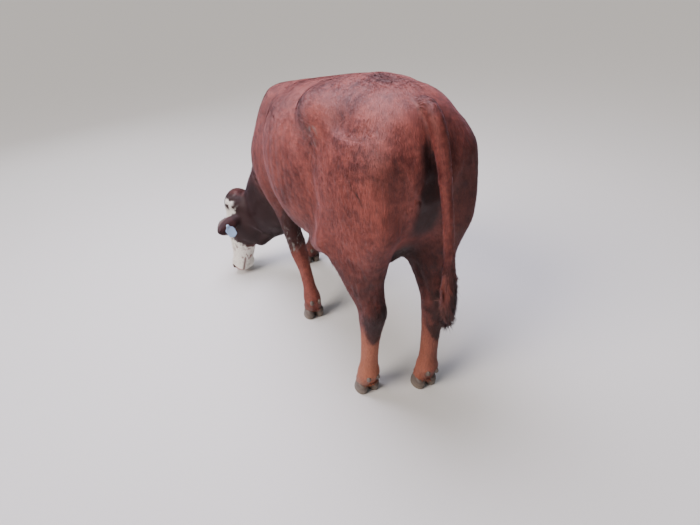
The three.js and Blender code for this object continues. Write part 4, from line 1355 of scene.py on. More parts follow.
def scatter(verts, tris, spacing, rng):
    """Roots on a mesh of triangles: evenly stepped through the running sum of area over spacing
    squared, each at a random place in its face; gives face index and the weights of its corners."""
    a, b, c = (verts[tris[:, k]] for k in range(3))
    total = np.cumsum(np.linalg.norm(np.cross(b - a, c - a), axis=1) / 2 / spacing ** 2)
    at = np.arange(int(total[-1])) + rng.random(int(total[-1]))
    face = np.clip(np.searchsorted(total, at), 0, len(tris) - 1)
    s, t = rng.random(len(face)) ** 0.5, rng.random(len(face))
    return face, np.stack([1 - s, s * (1 - t), s * t], -1)


def coat_piece(name, material, P, N, W, unwrap, length, width, lift, curl, tips, rng):
    """One joined mesh of locks, with the skin's marks, hair shares and each lock's patch of the unwrap."""
    phase = rng.random(len(P)) * 2 * np.pi
    drop = np.clip(skin(P + W * length[:, None]), -DROP_MOST, DROP_MOST)
    verts, faces, facing = locks(P, W, N, length, width, lift, curl, phase, tips, drop)
    if len(faces) >= MOST_TRIANGLES:
        raise RuntimeError(f"{name} has {len(faces)} triangles")
    piece = part_from(name, verts.reshape(-1, 3), faces, material)
    shares = np.repeat(marks(P + W * MARKED_AT), len(LOCK_ALONG), axis=0)
    give(piece.data, "Marks", "FLOAT_COLOR", shares)
    tint = rng.random(len(P))
    strand = np.stack([np.tile(LOCK_ALONG, len(P)), np.tile(LOCK_ACROSS, len(P)),
                       np.repeat(tint, len(LOCK_ALONG))], -1)
    give(piece.data, "Strand", "FLOAT_VECTOR", strand)
    piece.data.normals_split_custom_set(facing.reshape(-1, 3))
    layer = piece.data.uv_layers.new(name="OFBake")
    spot = np.stack([LOCK_ACROSS * 0.5, LOCK_ALONG - 0.5], -1) * PATCH
    uv = (unwrap(P)[:, None] * (1 - 2 * PATCH) + PATCH + spot[None]).reshape(-1, 2)
    layer.data.foreach_set("uv", uv[faces.ravel()].astype(np.float32).ravel())
    return piece


def round_axis(centre, along, across, low, high):
    """An unwrap like a paper label's: the angle about an axis, and the way along it from low to high."""
    fr = axes(centre, along, across)

    def unwrap(P):
        q = local(P, fr)
        return np.stack([np.arctan2(q[:, 2], q[:, 1]) / (2 * np.pi) + 0.5,
                         np.clip((q[:, 0] - low) / (high - low), 0, 1)], -1)
    return unwrap


# Coat of each region: spacing of the locks, their length, width, lift, side wave and tip height, mm.
COATS = {
    **{f"coat_fore_{side}": (4.4, 24, 3.0, 0.06, 1.0, 2.1) for side in ("left", "right")},
    **{f"coat_side_{side}": (4.4, 24, 3.0, 0.06, 1.0, 2.0) for side in ("left", "right")},
    **{f"coat_rump_{side}": (4.2, 25, 2.9, 0.06, 1.0, 2.1) for side in ("left", "right")},
    "coat_belly": (5.4, 28, 4.2, 0.14, 1.4, 4.4),
    "coat_neck": (4.2, 26, 3.2, 0.10, 1.5, 3.2),
    "coat_head": (3.4, 10, 2.2, 0.09, 0.5, 1.3),
    "coat_ears": (2.9, 10, 1.5, 0.07, 0.5, 0.9),
    **{f"coat_leg_{name}": (3.9, 17, 2.6, 0.09, 0.8, 2.0) for name in LIMBS},
    "coat_tail": (3.5, 54, 3.0, 0.12, 3.0, 8.5),
}
REGIONS = list(COATS)
TRUNK_MIDDLE, RUMP_FROM, NECK_FROM, LEG_TOP = 190.0, -260.0, 70.0, 640.0
SWITCH_FROM, SWITCH_OVER = 960, 330  # the tail's hair stands out from here down, over so much height
# Axis of an unwrap: centre, along, across, low and high ends.
UNWRAPS = {
    "coat_neck": (NECK_AXES[0] + (150, 110, -220), NECK_AXES[1][0], (0, 1, 0), -330, 330),
    "coat_head": (POLL, MUZZLE_WAY, FACE_WAY, -80, 480),
    "coat_ears": (POLL, HEAD_LEFT, (0, 0, 1), -320, 320),
    "coat_tail": ((-700, -30, 800), (0, 0, -1), (1, 0, 0), -480, 400),
}


def regions(P, N):
    """The index in REGIONS of the coat that each point of the skin belongs to; -1 where it is bare."""
    x, y, z = P.T
    right = (y < 0).astype(int)
    out = np.where(x > TRUNK_MIDDLE, 0, np.where(x > RUMP_FROM, 2, 4)) + right
    under = (N[:, 2] < -0.45) & (z < 700) & (x < 420)
    out[under] = REGIONS.index("coat_belly")
    n = local(P, NECK_AXES)
    out[(n[:, 0] > NECK_FROM) & (neck_form(P) < 12)] = REGIONS.index("coat_neck")
    for name, leg in leg_forms.items():
        out[(z < LEG_TOP) & (leg(P) < 8)] = REGIONS.index(f"coat_leg_{name}")
    q = local(P, HEAD_AXES)
    head = (skull(P) < 10) & (q[:, 0] > -60)
    out[head] = REGIONS.index("coat_head")
    ears = np.zeros(len(P), bool)
    for blade in ear_forms.values():
        ears |= (blade(P) < 3) & ~(skull(P) < 2)
    out[ears] = REGIONS.index("coat_ears")
    out[tail(P) < -4] = REGIONS.index("coat_tail")
    bald = bare(P)[:, 0] > 0.25
    lids = np.min([np.linalg.norm(P - c, axis=1) for c in EYES.values()], axis=0) < EYE_RADIUS + 3
    teats = np.min([np.hypot(x - a, y - b) for a, b in TEATS], axis=0) < 20
    out[bald | lids | (teats & (z < 590))] = -1
    return out


def shag(P):
    """Where the coat is long and curly: over the tail head, the topknot, the hocks, the thighs' backs,
    the flank, the left elbow and the dewlap."""
    q = local(P, HEAD_AXES)
    grow = noise(P, 40, 21) * 0.35
    places = [
        0.6 * ease(blob(P, (-430, 0, 1270), (130, 90, 60)) * 1.2 + grow),
        1.4 * ease(blob(q, (-10, 40, 0), (72, 90, 105)) * 1.6),
        *[ease(blob(P, at + [10, 0, 30], (70, 60, 170)) * 1.4 + grow) for at in HOCKS],
        0.8 * ease(blob(P, (-470, 215, 640), (130, 90, 120)) * 1.3 + grow),
        0.8 * ease(blob(P, (-500, -215, 640), (130, 90, 120)) * 1.3 + grow),
        0.8 * ease(blob(P, (-272, 245, 1010), (46, 60, 130)) * 1.3 + grow),
        0.8 * ease(blob(P, (320, 165, 470), (80, 80, 130)) + grow),
        0.7 * ease(blob(P, (650, 60, 420), (130, 120, 120)) + grow),
    ]
    return np.clip(np.maximum.reduce(places), 0, 1.4)


def unwrap_of(name):
    """Each coat's unwrap: limbs about their own line, the rest about the trunk's."""
    if name in UNWRAPS:
        return round_axis(*UNWRAPS[name])
    if name.startswith("coat_leg"):
        x, y, _ = foot_of(name[len("coat_leg_"):])
        return round_axis((x, y, 330), (0, 0, 1), (1, 0, 0), -340, 340)
    return round_axis((0, 0, 900), (1, 0, 0), (0, 0, 1), -760, 800)


def lengths(name, P, W, extra, rng):
    """How long each lock is: its region's length, longer in the shag and over the hoofs, shorter round
    the muzzle, beside bare skin, where the neck meets the head and at the root of the tail."""
    long = COATS[name][1] * (0.75 + 0.5 * rng.random(len(P))) * (1 + 0.25 * noise(P, 30, 32) + 0.45 * extra)
    if name == "coat_head":
        long = long * (1 - 0.45 * ease((local(P, HEAD_AXES)[:, 0] - 330) / 80))
        ahead = P + W * long[:, None]
        long = long * np.clip(1.25 - bare(ahead)[:, 0] - bare(P)[:, 0], 0.25, 1)
    if name == "coat_tail":
        long = long * (0.42 + 0.58 * ease((920 - P[:, 2]) / 320))
    if name == "coat_neck":
        long = long * (1 - 0.55 * ease((60 - skull(P)) / 50))
    if name.startswith("coat_leg"):
        long = long * (1 + 0.7 * ease((34 - hair_line(name[len("coat_leg_"):], P)) / 20))
    return long


def make_coat(hide, material, sizes):
    """Locks over the whole skin, one joined mesh for each region, rooted evenly over its faces; they
    lie sleekest where rain runs off, along the back and round the root of the tail."""
    data = hide.data
    data.calc_loop_triangles()
    tris = np.empty(len(data.loop_triangles) * 3, np.int32)
    data.loop_triangles.foreach_get("vertices", tris)
    tris = tris.reshape(-1, 3)
    verts = to_animal(points_of(data))
    normals = np.empty(len(verts) * 3, np.float32)
    data.vertices.foreach_get("normal", normals)
    normals = normals.reshape(-1, 3).astype(float)
    owner = regions(verts[tris].mean(1), unit(normals[tris].mean(1)))
    for k, name in enumerate(REGIONS):
        spacing, _, width, lift, curl, tip = COATS[name]
        own = tris[owner == k]
        rng = np.random.default_rng(COAT_SEED + k)
        face, weights = scatter(verts, own, spacing * sizes.spacing, rng)
        P = (verts[own[face]] * weights[..., None]).sum(1)
        N = unit((normals[own[face]] * weights[..., None]).sum(1))
        extra = shag(P)
        on_tail = name == "coat_tail"
        brush = ease((SWITCH_FROM - P[:, 2]) / SWITCH_OVER) if on_tail else np.ones(len(P))
        gather = 0.20 + 0.9 * np.minimum(extra, 1) + (0.5 * brush if on_tail else 0)
        W = clump(P, lie(P, N), sizes.clump * MM, gather, CLUMP_SEED)
        W = unit(W - N * (W * N).sum(-1, keepdims=True))
        jitter = (noise(P, 26, 31) * 0.22 + (rng.random(len(P)) - 0.5) * 0.30) * (1 + 1.5 * extra)
        W = unit(W * np.cos(jitter)[:, None] + np.cross(N, W) * np.sin(jitter)[:, None])
        long = lengths(name, P, W, extra, rng) * sizes.length
        wide = width * sizes.width * (0.75 + 0.5 * rng.random(len(P)))
        high = tip * (0.6 + 0.8 * rng.random(len(P))) * (1 + 0.5 * noise(P, 18, 33)) * (1 + 0.9 * extra)
        sleek = 1 - 0.4 * ease((N[:, 2] - 0.4) / 0.4) * (1 - np.minimum(extra, 1))
        sleek = sleek * (0.3 + 0.7 * brush)
        rise = lift * (0.8 + 0.4 * rng.random(len(P))) * (1 + 0.8 * extra) * sleek
        wave = curl * (1 + 3.5 * extra) * (rng.random(len(P)) - 0.5) * 2
        coat_piece(name, material, P, N, W, unwrap_of(name), long, wide, rise, wave, high * sleek, rng)


# ---- eyes and lashes

LASHES = {"upper": (1, 34), "lower": (-1, 20)}  # which way a lid's lashes fan, and how many


EYE_RINGS, EYE_SIDES = 40, 56
EYE_PLAY = 0.4  # how much smaller the ball is than its solid, mm
CORNEA_SPREAD = 0.62  # radians from its axis to where the cornea's bulge has mostly gone
LASH = {"width": 0.8, "rise": 3.5, "sunk": 1.2}


def directions(rings, sides):
    """Unit vectors over a sphere in rings from just off +Z down to just off -Z."""
    angle = np.linspace(0, np.pi, rings + 1)[1:-1, None]
    turn = np.linspace(0, 2 * np.pi, sides, endpoint=False)[None]
    out = np.sin(angle)
    return np.stack([out * np.cos(turn), out * np.sin(turn), np.cos(angle) + 0 * turn], -1)


def make_eyes(material, sizes):
    """Two balls, each a sphere of rings about its own axis whose front bulges into the cornea:
    radius = ball + cornea x exp(-(angle / spread) squared)."""
    gaze, faces = shell(directions(EYE_RINGS, EYE_SIDES), (0, 0, 1), (0, 0, -1))
    angle = np.arccos(np.clip(gaze[:, 2], -1, 1))
    reach = EYE_RADIUS - EYE_PLAY + sizes.cornea * MM * np.exp(-(angle / CORNEA_SPREAD) ** 2)
    for name in EYES:
        origin, turn = eye_axes(name)
        piece = part_from(f"eyeball_{name}", origin + gaze * reach[:, None] @ turn, faces, material)
        face_out(piece)
        give(piece.data, "Gaze", "FLOAT_VECTOR", gaze)
        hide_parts(f"eye_{name}")


def make_lashes(material, sizes):
    """Lashes: thin locks rooted along each lid's rim, an ellipse on the lid's ball, that run out from
    it at angles spread by a hash and fan towards the corners."""
    P, W, N, length = [], [], [], []
    for origin, turn in (eye_axes(name) for name in EYES):
        for which, (lid, count) in LASHES.items():
            stray = hash01(np.arange(count), np.full(count, lid + 3))
            other = hash01(np.arange(count), np.full(count, lid + 7))
            t = np.radians(np.linspace(20, 160, count) + 5 * (stray - 0.5))
            x, y = LID["long"] * np.cos(t), lid * (LID["high"] + 1.6 + other) * np.sin(t) - 0.5
            ball = EYE_RADIUS + LID["thick"] - LASH["sunk"]
            z = np.sqrt(np.maximum(ball ** 2 - x ** 2 - y ** 2, 0))
            fan = 0.45 * np.cos(t) + 0.35 * (stray - 0.5)
            way = unit(np.stack([fan, lid * (0.55 + 0.3 * other), 0 * t + 1], -1))
            up = unit(np.cross(np.cross(way, np.stack([0 * t, 0 * t + lid, 0 * t + 0.3], -1)), way))
            P.append(origin + np.stack([x, y, z], -1) @ turn)
            W.append(way @ turn)
            N.append(up @ turn)
            length.append(getattr(sizes, which) * MM * (0.62 + 0.38 * np.sin(t)) * (0.75 + 0.5 * other))
    P, W, N, length = (np.concatenate(a) for a in (P, W, N, length))
    flat = np.zeros(len(P))
    verts, faces, _ = locks(P, W, N, length, flat + LASH["width"], flat, flat, flat, flat + LASH["rise"])
    part_from("eyelashes", verts.reshape(-1, 3), faces, material)


# ---- hooves

WALL = 0.97  # the finished claw's width of the solid's
SOLE_EDGE = 5.0  # height over which the wall rounds in to the sole, mm
UNDER_HAIR = 5  # how far the wall runs up under the hair, mm
DOME = 5.0  # how far its hidden top is domed, mm
CLAW_SIDES, CLAW_LEVELS = 56, 26
TOE_SHARE, HEEL_SHARE = 0.58, 0.42  # of its length, before and behind its middle
DEWCLAW = {"height": 106, "size": (15, 11, 19), "spread": 20, "sunk": 0.88, "tilt": -0.55,
           "rings": (14, 20)}


def claw(centre, outward, ring):
    """One claw: a sole outline with a nearly straight inner side and a bowed outer one, carried up
    and back to the hair line. Rings stand out by a wave along the height; the sole is flat and the top domed."""
    rise = CORONET["toe"] - CORONET["heel"]
    a = np.linspace(0, 2 * np.pi, CLAW_SIDES, endpoint=False)[None]
    t = np.linspace(0, 1, CLAW_LEVELS)[:, None]
    toe = np.where(np.cos(a) > 0, TOE_SHARE, HEEL_SHARE)
    along = CLAW["length"] * toe * np.sign(np.cos(a)) * np.abs(np.cos(a)) ** 0.9
    bow = (0.5 + 0.5 * np.sin(a)) * (1 - 0.35 * np.maximum(np.cos(a), 0) ** 2)
    z = np.full_like(along, 60.0)
    for _ in range(12):  # the wall leans, so the height where it meets the hair line is found in rounds
        h = z / CLAW["height"]
        x = along * (1 - (1 - CLAW["taper"]) * h) - CLAW["lean"] * h
        z = (CORONET["toe"] + rise / CLAW["length"] * (x - CLAW["length"] * CORONET["toe_at"])
             + UNDER_HAIR)
    z = z * t
    h = z / CLAW["height"]
    foot = np.clip(z / SOLE_EDGE, 0, 1)
    k = (1 - (1 - CLAW["taper"]) * h) * WALL
    k = k * (1 - 0.05 * (1 - foot) ** 2) * (1 - 0.16 * ease((t - 0.80) / 0.20))
    k = k * (1 + 0.010 * np.sin(2 * np.pi * (z + 3 * np.cos(a)) / ring) * foot)
    half = CLAW["width"] / 2
    across = CLAW["cleft"] / 2 + half + (CLAW["width"] * bow - half) * k
    shape = np.stack([along * k - CLAW["lean"] * h, across * outward, z], -1)
    sole, top = shape[0].mean(0), shape[-1].mean(0)
    shares = np.array([0.35, 0.7])[:, None, None]
    under = sole + (shape[0] - sole) * shares
    dome = np.array([0, 0, DOME])
    over = top + (shape[-1] - top) * shares[::-1] + (1 - shares[::-1]) * dome
    verts, faces = shell(np.concatenate([under, shape, over]), sole, top + dome)
    return verts + centre, faces


def dewclaw(name, outward):
    """A blunt horny cone on the back of the pastern: a sphere stretched along its own axis and
    drawn in towards its lower end."""
    side, leg, _, step = LIMBS[name]
    z = np.array([float(DEWCLAW["height"])])
    x, y, _, back = curve(leg)(z)[0, :4]
    at = np.array([x - back * DEWCLAW["sunk"], y, z[0]]) + lean(z, step)[0]
    at[1] = at[1] * side + DEWCLAW["spread"] * outward
    S = directions(*DEWCLAW["rings"])
    S = S * (0.80 + 0.20 * S[..., 2:]) ** [1, 1, 0]
    verts, faces = shell(S, (0, 0, 1), (0, 0, -1))
    c, s = math.cos(DEWCLAW["tilt"]), math.sin(DEWCLAW["tilt"])
    turn = np.array([(c, 0, -s), (0, 1, 0), (s, 0, c)])
    return verts * (np.array(DEWCLAW["size"]) * WALL) @ turn + at, faces


def make_hooves(material, sizes):
    """Both claws and both dewclaws of each foot, as one piece a foot."""
    for name, (side, *_) in LIMBS.items():
        verts, faces, count = [], [], 0
        for outward in (side, -side):
            for made in (claw(foot_of(name), outward, sizes.ring * MM), dewclaw(name, outward)):
                verts.append(made[0])
                faces += [group + count for group in made[1]]
                count += len(made[0])
        piece = part_from(f"hooves_{name}", np.concatenate(verts), faces, material)
        face_out(piece)
        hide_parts(*[f"{kind}_{name}_{which}" for kind in ("claw", "dewclaw")
                             for which in ("outer", "inner")])


# ---- ear tag

TAG = {"width": 64, "length": 78, "neck": 19, "shoulder": 26, "thickness": 2.4, "along": 104, "off": 1}
STUD = {"radius": 9, "thickness": 5}
TAG_CORNER = 5.0  # rounding of the flag's corners
TAG_RIM = 0.7  # its softened edge
RECESS = 0.5  # how far its face is sunk inside the rim
FLAG = {"neck": 10, "taper": 3, "point": 12}  # neck's length, draw of the sides, height of the point
CLAMP = 0.35  # gap between the flag and what holds it
PIN = {"radius": 3, "head": 8, "head_thick": 2}
PIN_DROP = STUD["radius"] - 3  # the pin's place, below the flag's top edge
TURNED_SIDES = 40


def ear_half():
    """Half the ear's thickness where the pin goes through."""
    return float(curve([(s, t) for s, t, _ in EAR])(np.array([float(TAG["along"])]))[0, 0])


def tag_axes():
    """Across the flag, up it and out of its back, with the pin's place as the origin."""
    origin, turn = ear_axes("left")
    back = -turn[1]
    hang = unit(np.array([0, 0, -1.0]) + back * back[2])
    pin = put((origin, turn), TAG["along"], -ear_half() - TAG["off"], 0) + back * CLAMP
    return pin - hang * PIN_DROP, np.stack([np.cross(back, hang), -hang, back])


def rounded(corners, radius, count):
    """A closed outline through rounded corners: each is an arc-like quadratic curve, cut at most
    halfway along its shorter side."""
    pts, t = [], np.linspace(0, 1, count)[:, None]
    for before, at, after in zip(np.roll(corners, 1, 0), corners, np.roll(corners, -1, 0)):
        a, b = before - at, after - at
        cut = min(radius, np.linalg.norm(a) / 2.2, np.linalg.norm(b) / 2.2)
        start, end = at + unit(a) * cut, at + unit(b) * cut
        pts.append(start * (1 - t) ** 2 + at * 2 * t * (1 - t) + end * t ** 2)
    return np.concatenate(pts)


def make_tag(plastic):
    """The flag: an outline stacked in levels with a softened edge and a face sunk inside its rim.
    The button outside it, and the pin's head inside the ear, are turned."""
    w, l, n, sh = TAG["width"] / 2, TAG["length"], TAG["neck"] / 2, TAG["shoulder"]
    foot, low = w - FLAG["taper"], FLAG["point"] - l
    corners = np.array([(-n, 0), (-n, -FLAG["neck"]), (-w, -sh), (-foot, low), (0, -l), (foot, low),
                        (w, -sh), (n, -FLAG["neck"]), (n, 0)], float)
    line = rounded(corners, TAG_CORNER, 6)
    middle, thick = line.mean(0), TAG["thickness"]
    inward = unit(middle - line)
    levels = [(TAG_RIM, 0.0), (0.15, TAG_RIM / 2), (0, thick / 2),
              (0.15, thick - TAG_RIM / 2), (TAG_RIM, thick)]
    rings = [(line + inward * draw, z) for draw, z in levels]
    shrunk = [(middle + (line - middle) * share, z)
              for share, z in ((0.3, 0), (0.82, thick), (0.78, thick - RECESS), (0.3, thick - RECESS))]
    rings = [shrunk[0], *rings, *shrunk[1:]]
    shape = np.stack([np.c_[points, np.full(len(points), float(z))] for points, z in rings])
    verts, faces = shell(shape, (*middle, 0), (*middle, thick - RECESS))
    origin, turn = tag_axes()
    flag = part_from("ear_tag_flag", origin + verts @ turn, faces, plastic)
    face_out(flag)
    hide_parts("ear_tag")

    r, h, lift = STUD["radius"], STUD["thickness"], thick + CLAMP
    button = turned("ear_tag_button", [
        (0, lift), (r - 0.8, lift), (r - 0.2, lift + 0.5), (r, lift + 1.2), (r - 0.3, lift + 2.4),
        (r - 1.4, lift + 3.2), (r * 0.45, lift + 3.8), (r * 0.40, lift + h - 0.4), (r * 0.3, lift + h),
        (0, lift + h)], plastic)
    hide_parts("ear_tag_stud")
    inside = -2 * ear_half() - 4
    turned("ear_tag_pin", [
        (0, inside - PIN["head_thick"]), (PIN["head"] - 1.5, inside - PIN["head_thick"]),
        (PIN["head"], inside - 1), (PIN["head"], inside), (PIN["radius"], inside + 1), (PIN["radius"], 0.4),
        (0, 0.4)], plastic)


def turned(name, profile, material):
    """A profile of radius and height, turned about the pin, along the tag's outward axis."""
    a = np.linspace(0, 2 * np.pi, TURNED_SIDES, endpoint=False)
    rings = np.stack([np.stack([r * np.cos(a), r * np.sin(a), 0 * a + z], -1) for r, z in profile[1:-1]])
    verts, faces = shell(rings, (0, 0, profile[0][1]), (0, 0, profile[-1][1]))
    origin, turn = tag_axes()
    piece = part_from(name, origin + (verts + [0, -PIN_DROP, 0]) @ turn, faces, material)
    face_out(piece)
    return piece


# ---- stage

CAMERA_TURN = {"heading": 23.91, "down": 29.51, "roll": 3.43}  # degrees
# Lamps: place, size across, power, colour; all point at the middle of the trunk.
LAMPS = {
    "fill": ((-3.6, -3.0, 2.8), 3.0, 6, "E4ECFF"),
    "front": ((4.0, 1.5, 2.6), 2.6, 45, "F4F4FF"),
    "top": ((0.4, 0.3, 3.6), 2.2, 215, "F0EAFF"),
}
SKY_FROM = (-0.9, 3.9, 3.6)  # the way to the soft key light, a broad patch of sky
TRUNK_AT = (0, 0, 0.6)
FLOOR_RADIUS, SEEN_TO = 400.0, 1000.0
FLOOR_SIDES = 96
SENSOR = 36.0  # mm across


def floor_material(colour):
    """Matt studio floor paint: pale, and without a pattern."""
    material, tree = fresh("studio_floor_paint")
    surface(tree, {"Base Color": colour, "Roughness": 0.9})
    return material


def lamp(name, kind, at, colour, power):
    """A lamp at a place, turned to the middle of the trunk."""
    light = bpy.data.lights.new(name, kind)
    light.energy, light.color = power, linear(colour)[:3]
    made = bpy.data.objects.new(name, light)
    made.location = at
    made.rotation_mode = "QUATERNION"
    made.rotation_quaternion = (Vector(TRUNK_AT) - Vector(at)).to_track_quat("-Z", "Y")
    bpy.context.scene.collection.objects.link(made)
    return light


def make_camera(at, lens):
    """The camera: heading and pitch as turns, then a roll about its own way forward."""
    a, e, r = (math.radians(CAMERA_TURN[k]) for k in ("heading", "down", "roll"))
    forward = Vector((math.cos(a) * math.cos(e), -math.sin(a) * math.cos(e), -math.sin(e)))
    right = Vector((-math.sin(a), -math.cos(a), 0.0))
    up = right.cross(forward)
    x = right * math.cos(r) - up * math.sin(r)
    y = right * math.sin(r) + up * math.cos(r)
    camera = bpy.data.objects.new("camera", bpy.data.cameras.new("camera"))
    camera.data.lens, camera.data.sensor_width, camera.data.clip_end = lens, SENSOR, SEEN_TO
    camera.matrix_world = Matrix.Translation(at) @ Matrix((x, y, -forward)).transposed().to_4x4()
    bpy.context.scene.collection.objects.link(camera)
    bpy.context.scene.camera = camera


def make_stage(sizes):
    """A plain pale floor out to the horizon, soft light from one side and above, and the camera."""
    a = np.linspace(0, 2 * np.pi, FLOOR_SIDES, endpoint=False)
    j = np.arange(len(a))
    rim = FLOOR_RADIUS * np.stack([np.cos(a), np.sin(a), 0 * a], -1)
    faces = np.stack([j, (j + 1) % len(a), 0 * j + len(a)], -1)
    mesh_from("floor", np.concatenate([rim, [(0, 0, 0)]]), faces, floor_material(sizes.floor))

    world = bpy.data.worlds.new("studio")
    world.use_nodes = True
    background = world.node_tree.nodes["Background"].inputs
    background["Color"].default_value = sizes.air
    background["Strength"].default_value = sizes.air_strength
    bpy.context.scene.world = world
    sky = lamp("sky", "SUN", SKY_FROM, "FFF3EC", sizes.key_strength)
    sky.angle = sizes.key_spread
    for name, (at, across, power, colour) in LAMPS.items():
        lamp(name, "AREA", at, colour, power).size = across
    make_camera(sizes.camera_at, sizes.lens)


# ---- what a user can change


def tone(name, description, code):
    """A colour setting with an sRGB hex code as its default."""
    return bpy.props.FloatVectorProperty(name=name, description=description, subtype="COLOR", size=4,
                                         min=0.0, max=1.0, default=linear(code))


def length(name, description, default):
    """A length setting in metres."""
    return bpy.props.FloatProperty(name=name, description=description, default=default, min=0.0,
                                   unit="LENGTH", precision=4)


def share(name, description, default):
    """A factor setting: times the table's value."""
    return bpy.props.FloatProperty(name=name, description=description, default=default, min=0.1, max=10.0,
                                   subtype="FACTOR")


class HideSettings(bpy.types.PropertyGroup):
    coarse: length("Body detail", "Step of the lattice that the skin is meshed on", 0.012)
    fine: length("Head detail", "Step of the lattice round the head", 0.0065)
    red: tone("Red", "Hair on the hide, redder patches", "81443D")
    deep: tone("Deep red", "Hair on the hide, darker patches", "4E2422")
    white: tone("White", "Hair of the face and muzzle", "DEDACF")
    # dark also paints shade: over the cheeks, throat and ears, the right side, under the trunk, between the
    # legs, at the left elbow and round the tail
    dark: tone("Dark", "Hair of the cheeks, throat, ears and hocks", "241416")
    # bright also paints a highlight down the tail's left edge
    bright: tone("Bright", "Sun-bleached hair of the shanks and the tail's edge", "8C5240")
    mud: tone("Mud", "Drying mud and pale flecks", "6A6562")
    nose: tone("Nose", "Bare skin of the nose and lips", "6E4A46")
    nose_pale: tone("Pale nose", "Its paler mottling", "B98A82")
    # depth is painted shade inside the nostrils and between the lips, and the lids' dark rims
    depth: tone("Depth", "Inside the nostrils and between the lips", "150D0D")
    sheen: tone("Sheen", "Where light grazes the hair", "E0CBDD")


class CoatSettings(bpy.types.PropertyGroup):
    spacing: share("Spacing", "Distance between locks, times the table's", 1.0)
    length: share("Length", "Length of the locks, times the table's", 1.0)
    width: share("Width", "Width of the locks, times the table's", 1.0)
    clump: length("Clump", "Across a clump of hair", 0.021)
    red: tone("Red", "Locks in the redder patches", "904B42")
    deep: tone("Deep red", "Locks in the darker patches", "582825")
    white: tone("White", "Locks of the face and muzzle", "F0ECE4")
    # dark also paints shade: over the cheeks, throat and ears, the right side, under the trunk, between the
    # legs, at the left elbow and round the tail
    dark: tone("Dark", "Locks of the cheeks, throat, ears and hocks", "22100F")
    # bright also paints a highlight down the tail's left edge
    bright: tone("Bright", "Locks of the shanks and the tail's edge", "A0624A")
    mud: tone("Mud", "Drying mud and pale flecks", "77726E")
    sheen: tone("Sheen", "Where light grazes the locks", "E4D2EA")


class EyeSettings(bpy.types.PropertyGroup):
    cornea: length("Cornea", "How far the clear front stands out of the ball", 0.0016)
    pupil_long: share("Pupil length", "Half its length, as the sine of its angle from the axis", 0.40)
    pupil_high: share("Pupil height", "Half its height, as the sine of its angle from the axis", 0.20)
    pupil: tone("Pupil", "The blue-black pupil", "06070C")
    iris: tone("Iris", "The iris between its fibres", "1C0E08")
    iris_pale: tone("Iris fibres", "The fibres of the iris", "4A2A18")
    white: tone("White", "What shows of the white of the eye", "8C7468")
    upper: length("Upper lashes", "Length of the upper lid's lashes", 0.019)
    lower: length("Lower lashes", "Length of the lower lid's lashes", 0.007)
    lash: tone("Lashes", "Hair of the lashes", "1E1412")


class HoofSettings(bpy.types.PropertyGroup):
    ring: length("Growth rings", "Distance between the rings of the claw's wall", 0.0075)
    dark: tone("Dark horn", "Horn between the growth bands", "2E2622")
    pale: tone("Pale horn", "The growth bands", "6E6056")
    dust: tone("Dust", "Dust at the foot of the wall", "7A6F62")


class TagSettings(bpy.types.PropertyGroup):
    plain: tone("Plastic", "The tag's own colour", "8AA5C0")
    worn: tone("Worn plastic", "Where it is chalky and scuffed", "A4BACE")


class StageSettings(bpy.types.PropertyGroup):
    floor: tone("Floor", "Floor paint", "D9D8D4")
    air: tone("Air", "Light from all round", "DDE3EA")
    air_strength: bpy.props.FloatProperty(name="Air strength", description="Strength of the light all round",
                                          default=0.30, min=0.0)
    key_strength: bpy.props.FloatProperty(name="Key strength", description="Strength of the key light",
                                          default=3.7, min=0.0)
    key_spread: bpy.props.FloatProperty(name="Key spread", description="Across the key's patch of sky",
                                        default=math.radians(30), min=0.0, unit="ROTATION")
    camera_at: bpy.props.FloatVectorProperty(name="Camera", description="Where the camera stands", size=3,
                                             default=(-2.109, 0.7606, 1.589), subtype="TRANSLATION",
                                             unit="LENGTH")
    lens: bpy.props.FloatProperty(name="Lens", description="Focal length on a 36 mm sensor", default=26.71,
                                  min=1.0, unit="CAMERA")


# ---- operators, panel and registration


class MakeHide(bpy.types.Operator):
    """Make the skin and its short flat hair in place of the solids of flesh"""
    bl_idname = "heifer.make_hide"
    bl_label = "Hide"

    def execute(self, context):
        tones = context.scene.heifer_hide
        make_skin(skin_material(tones), tones)
        return {"FINISHED"}


class MakeCoat(bpy.types.Operator):
    """Lay the locks of the coat over the hide"""
    bl_idname = "heifer.make_coat"
    bl_label = "Coat"

    def execute(self, context):
        hide = bpy.data.objects.get("heifer_skin")
        if hide is None:
            raise RuntimeError("the coat is rooted in the hide, so the hide is made first")
        tones = context.scene.heifer_coat
        make_coat(hide, hair_material(tones), tones)
        return {"FINISHED"}


class MakeEyes(bpy.types.Operator):
    """Make both eyeballs"""
    bl_idname = "heifer.make_eyes"
    bl_label = "Eyes"

    def execute(self, context):
        tones = context.scene.heifer_eyes
        make_eyes(eye_material(tones), tones)
        return {"FINISHED"}


class MakeLashes(bpy.types.Operator):
    """Make the lashes of all four lids"""
    bl_idname = "heifer.make_lashes"
    bl_label = "Lashes"

    def execute(self, context):
        tones = context.scene.heifer_eyes
        make_lashes(lash_material(tones), tones)
        return {"FINISHED"}


class MakeHooves(bpy.types.Operator):
    """Make the claws and dewclaws of the four feet"""
    bl_idname = "heifer.make_hooves"
    bl_label = "Hooves"

    def execute(self, context):
        tones = context.scene.heifer_hooves
        make_hooves(horn_material(tones), tones)
        return {"FINISHED"}


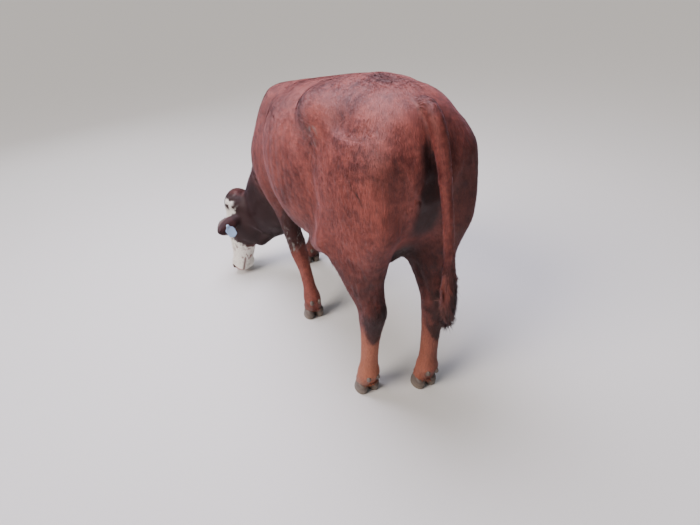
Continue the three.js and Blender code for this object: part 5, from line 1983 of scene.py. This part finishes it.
class MakeTag(bpy.types.Operator):
    """Make the blank flag tag of the left ear, with its button and pin"""
    bl_idname = "heifer.make_tag"
    bl_label = "Ear tag"

    def execute(self, context):
        make_tag(plastic_material(context.scene.heifer_tag))
        return {"FINISHED"}


class MakeStage(bpy.types.Operator):
    """Make the floor, the lights and the camera"""
    bl_idname = "heifer.make_stage"
    bl_label = "Stage"

    def execute(self, context):
        make_stage(context.scene.heifer_stage)
        return {"FINISHED"}


SETTINGS = {"heifer_hide": HideSettings, "heifer_coat": CoatSettings, "heifer_eyes": EyeSettings,
            "heifer_hooves": HoofSettings, "heifer_tag": TagSettings, "heifer_stage": StageSettings}
OPERATORS = {MakeHide: "heifer_hide", MakeCoat: "heifer_coat", MakeEyes: "heifer_eyes", MakeLashes: None,
             MakeHooves: "heifer_hooves", MakeTag: "heifer_tag", MakeStage: "heifer_stage"}


class HEIFER_PT_pieces(bpy.types.Panel):
    """Each piece's settings and the button that makes it"""
    bl_idname = "HEIFER_PT_pieces"
    bl_label = "Grazing Heifer"
    bl_space_type = "VIEW_3D"
    bl_region_type = "UI"
    bl_category = "Heifer"

    def draw(self, context):
        for operator, group in OPERATORS.items():
            box = self.layout.box()
            box.operator(operator.bl_idname)
            for name in SETTINGS[group].__annotations__ if group else ():
                box.prop(getattr(context.scene, group), name)


def register():
    """Makes the classes and each group of settings known."""
    for kind in (*SETTINGS.values(), *OPERATORS, HEIFER_PT_pieces):
        bpy.utils.register_class(kind)
    for name, group in SETTINGS.items():
        setattr(bpy.types.Scene, name, bpy.props.PointerProperty(type=group))


def unregister():
    """Takes them away again, in the opposite order."""
    for name in SETTINGS:
        delattr(bpy.types.Scene, name)
    for kind in reversed((*SETTINGS.values(), *OPERATORS, HEIFER_PT_pieces)):
        bpy.utils.unregister_class(kind)


def main():
    """Makes every piece and the stage."""
    register()
    bpy.ops.heifer.make_hide()
    bpy.ops.heifer.make_coat()
    bpy.ops.heifer.make_eyes()
    bpy.ops.heifer.make_lashes()
    bpy.ops.heifer.make_hooves()
    bpy.ops.heifer.make_tag()
    bpy.ops.heifer.make_stage()


if __name__ == "__main__":
    main()
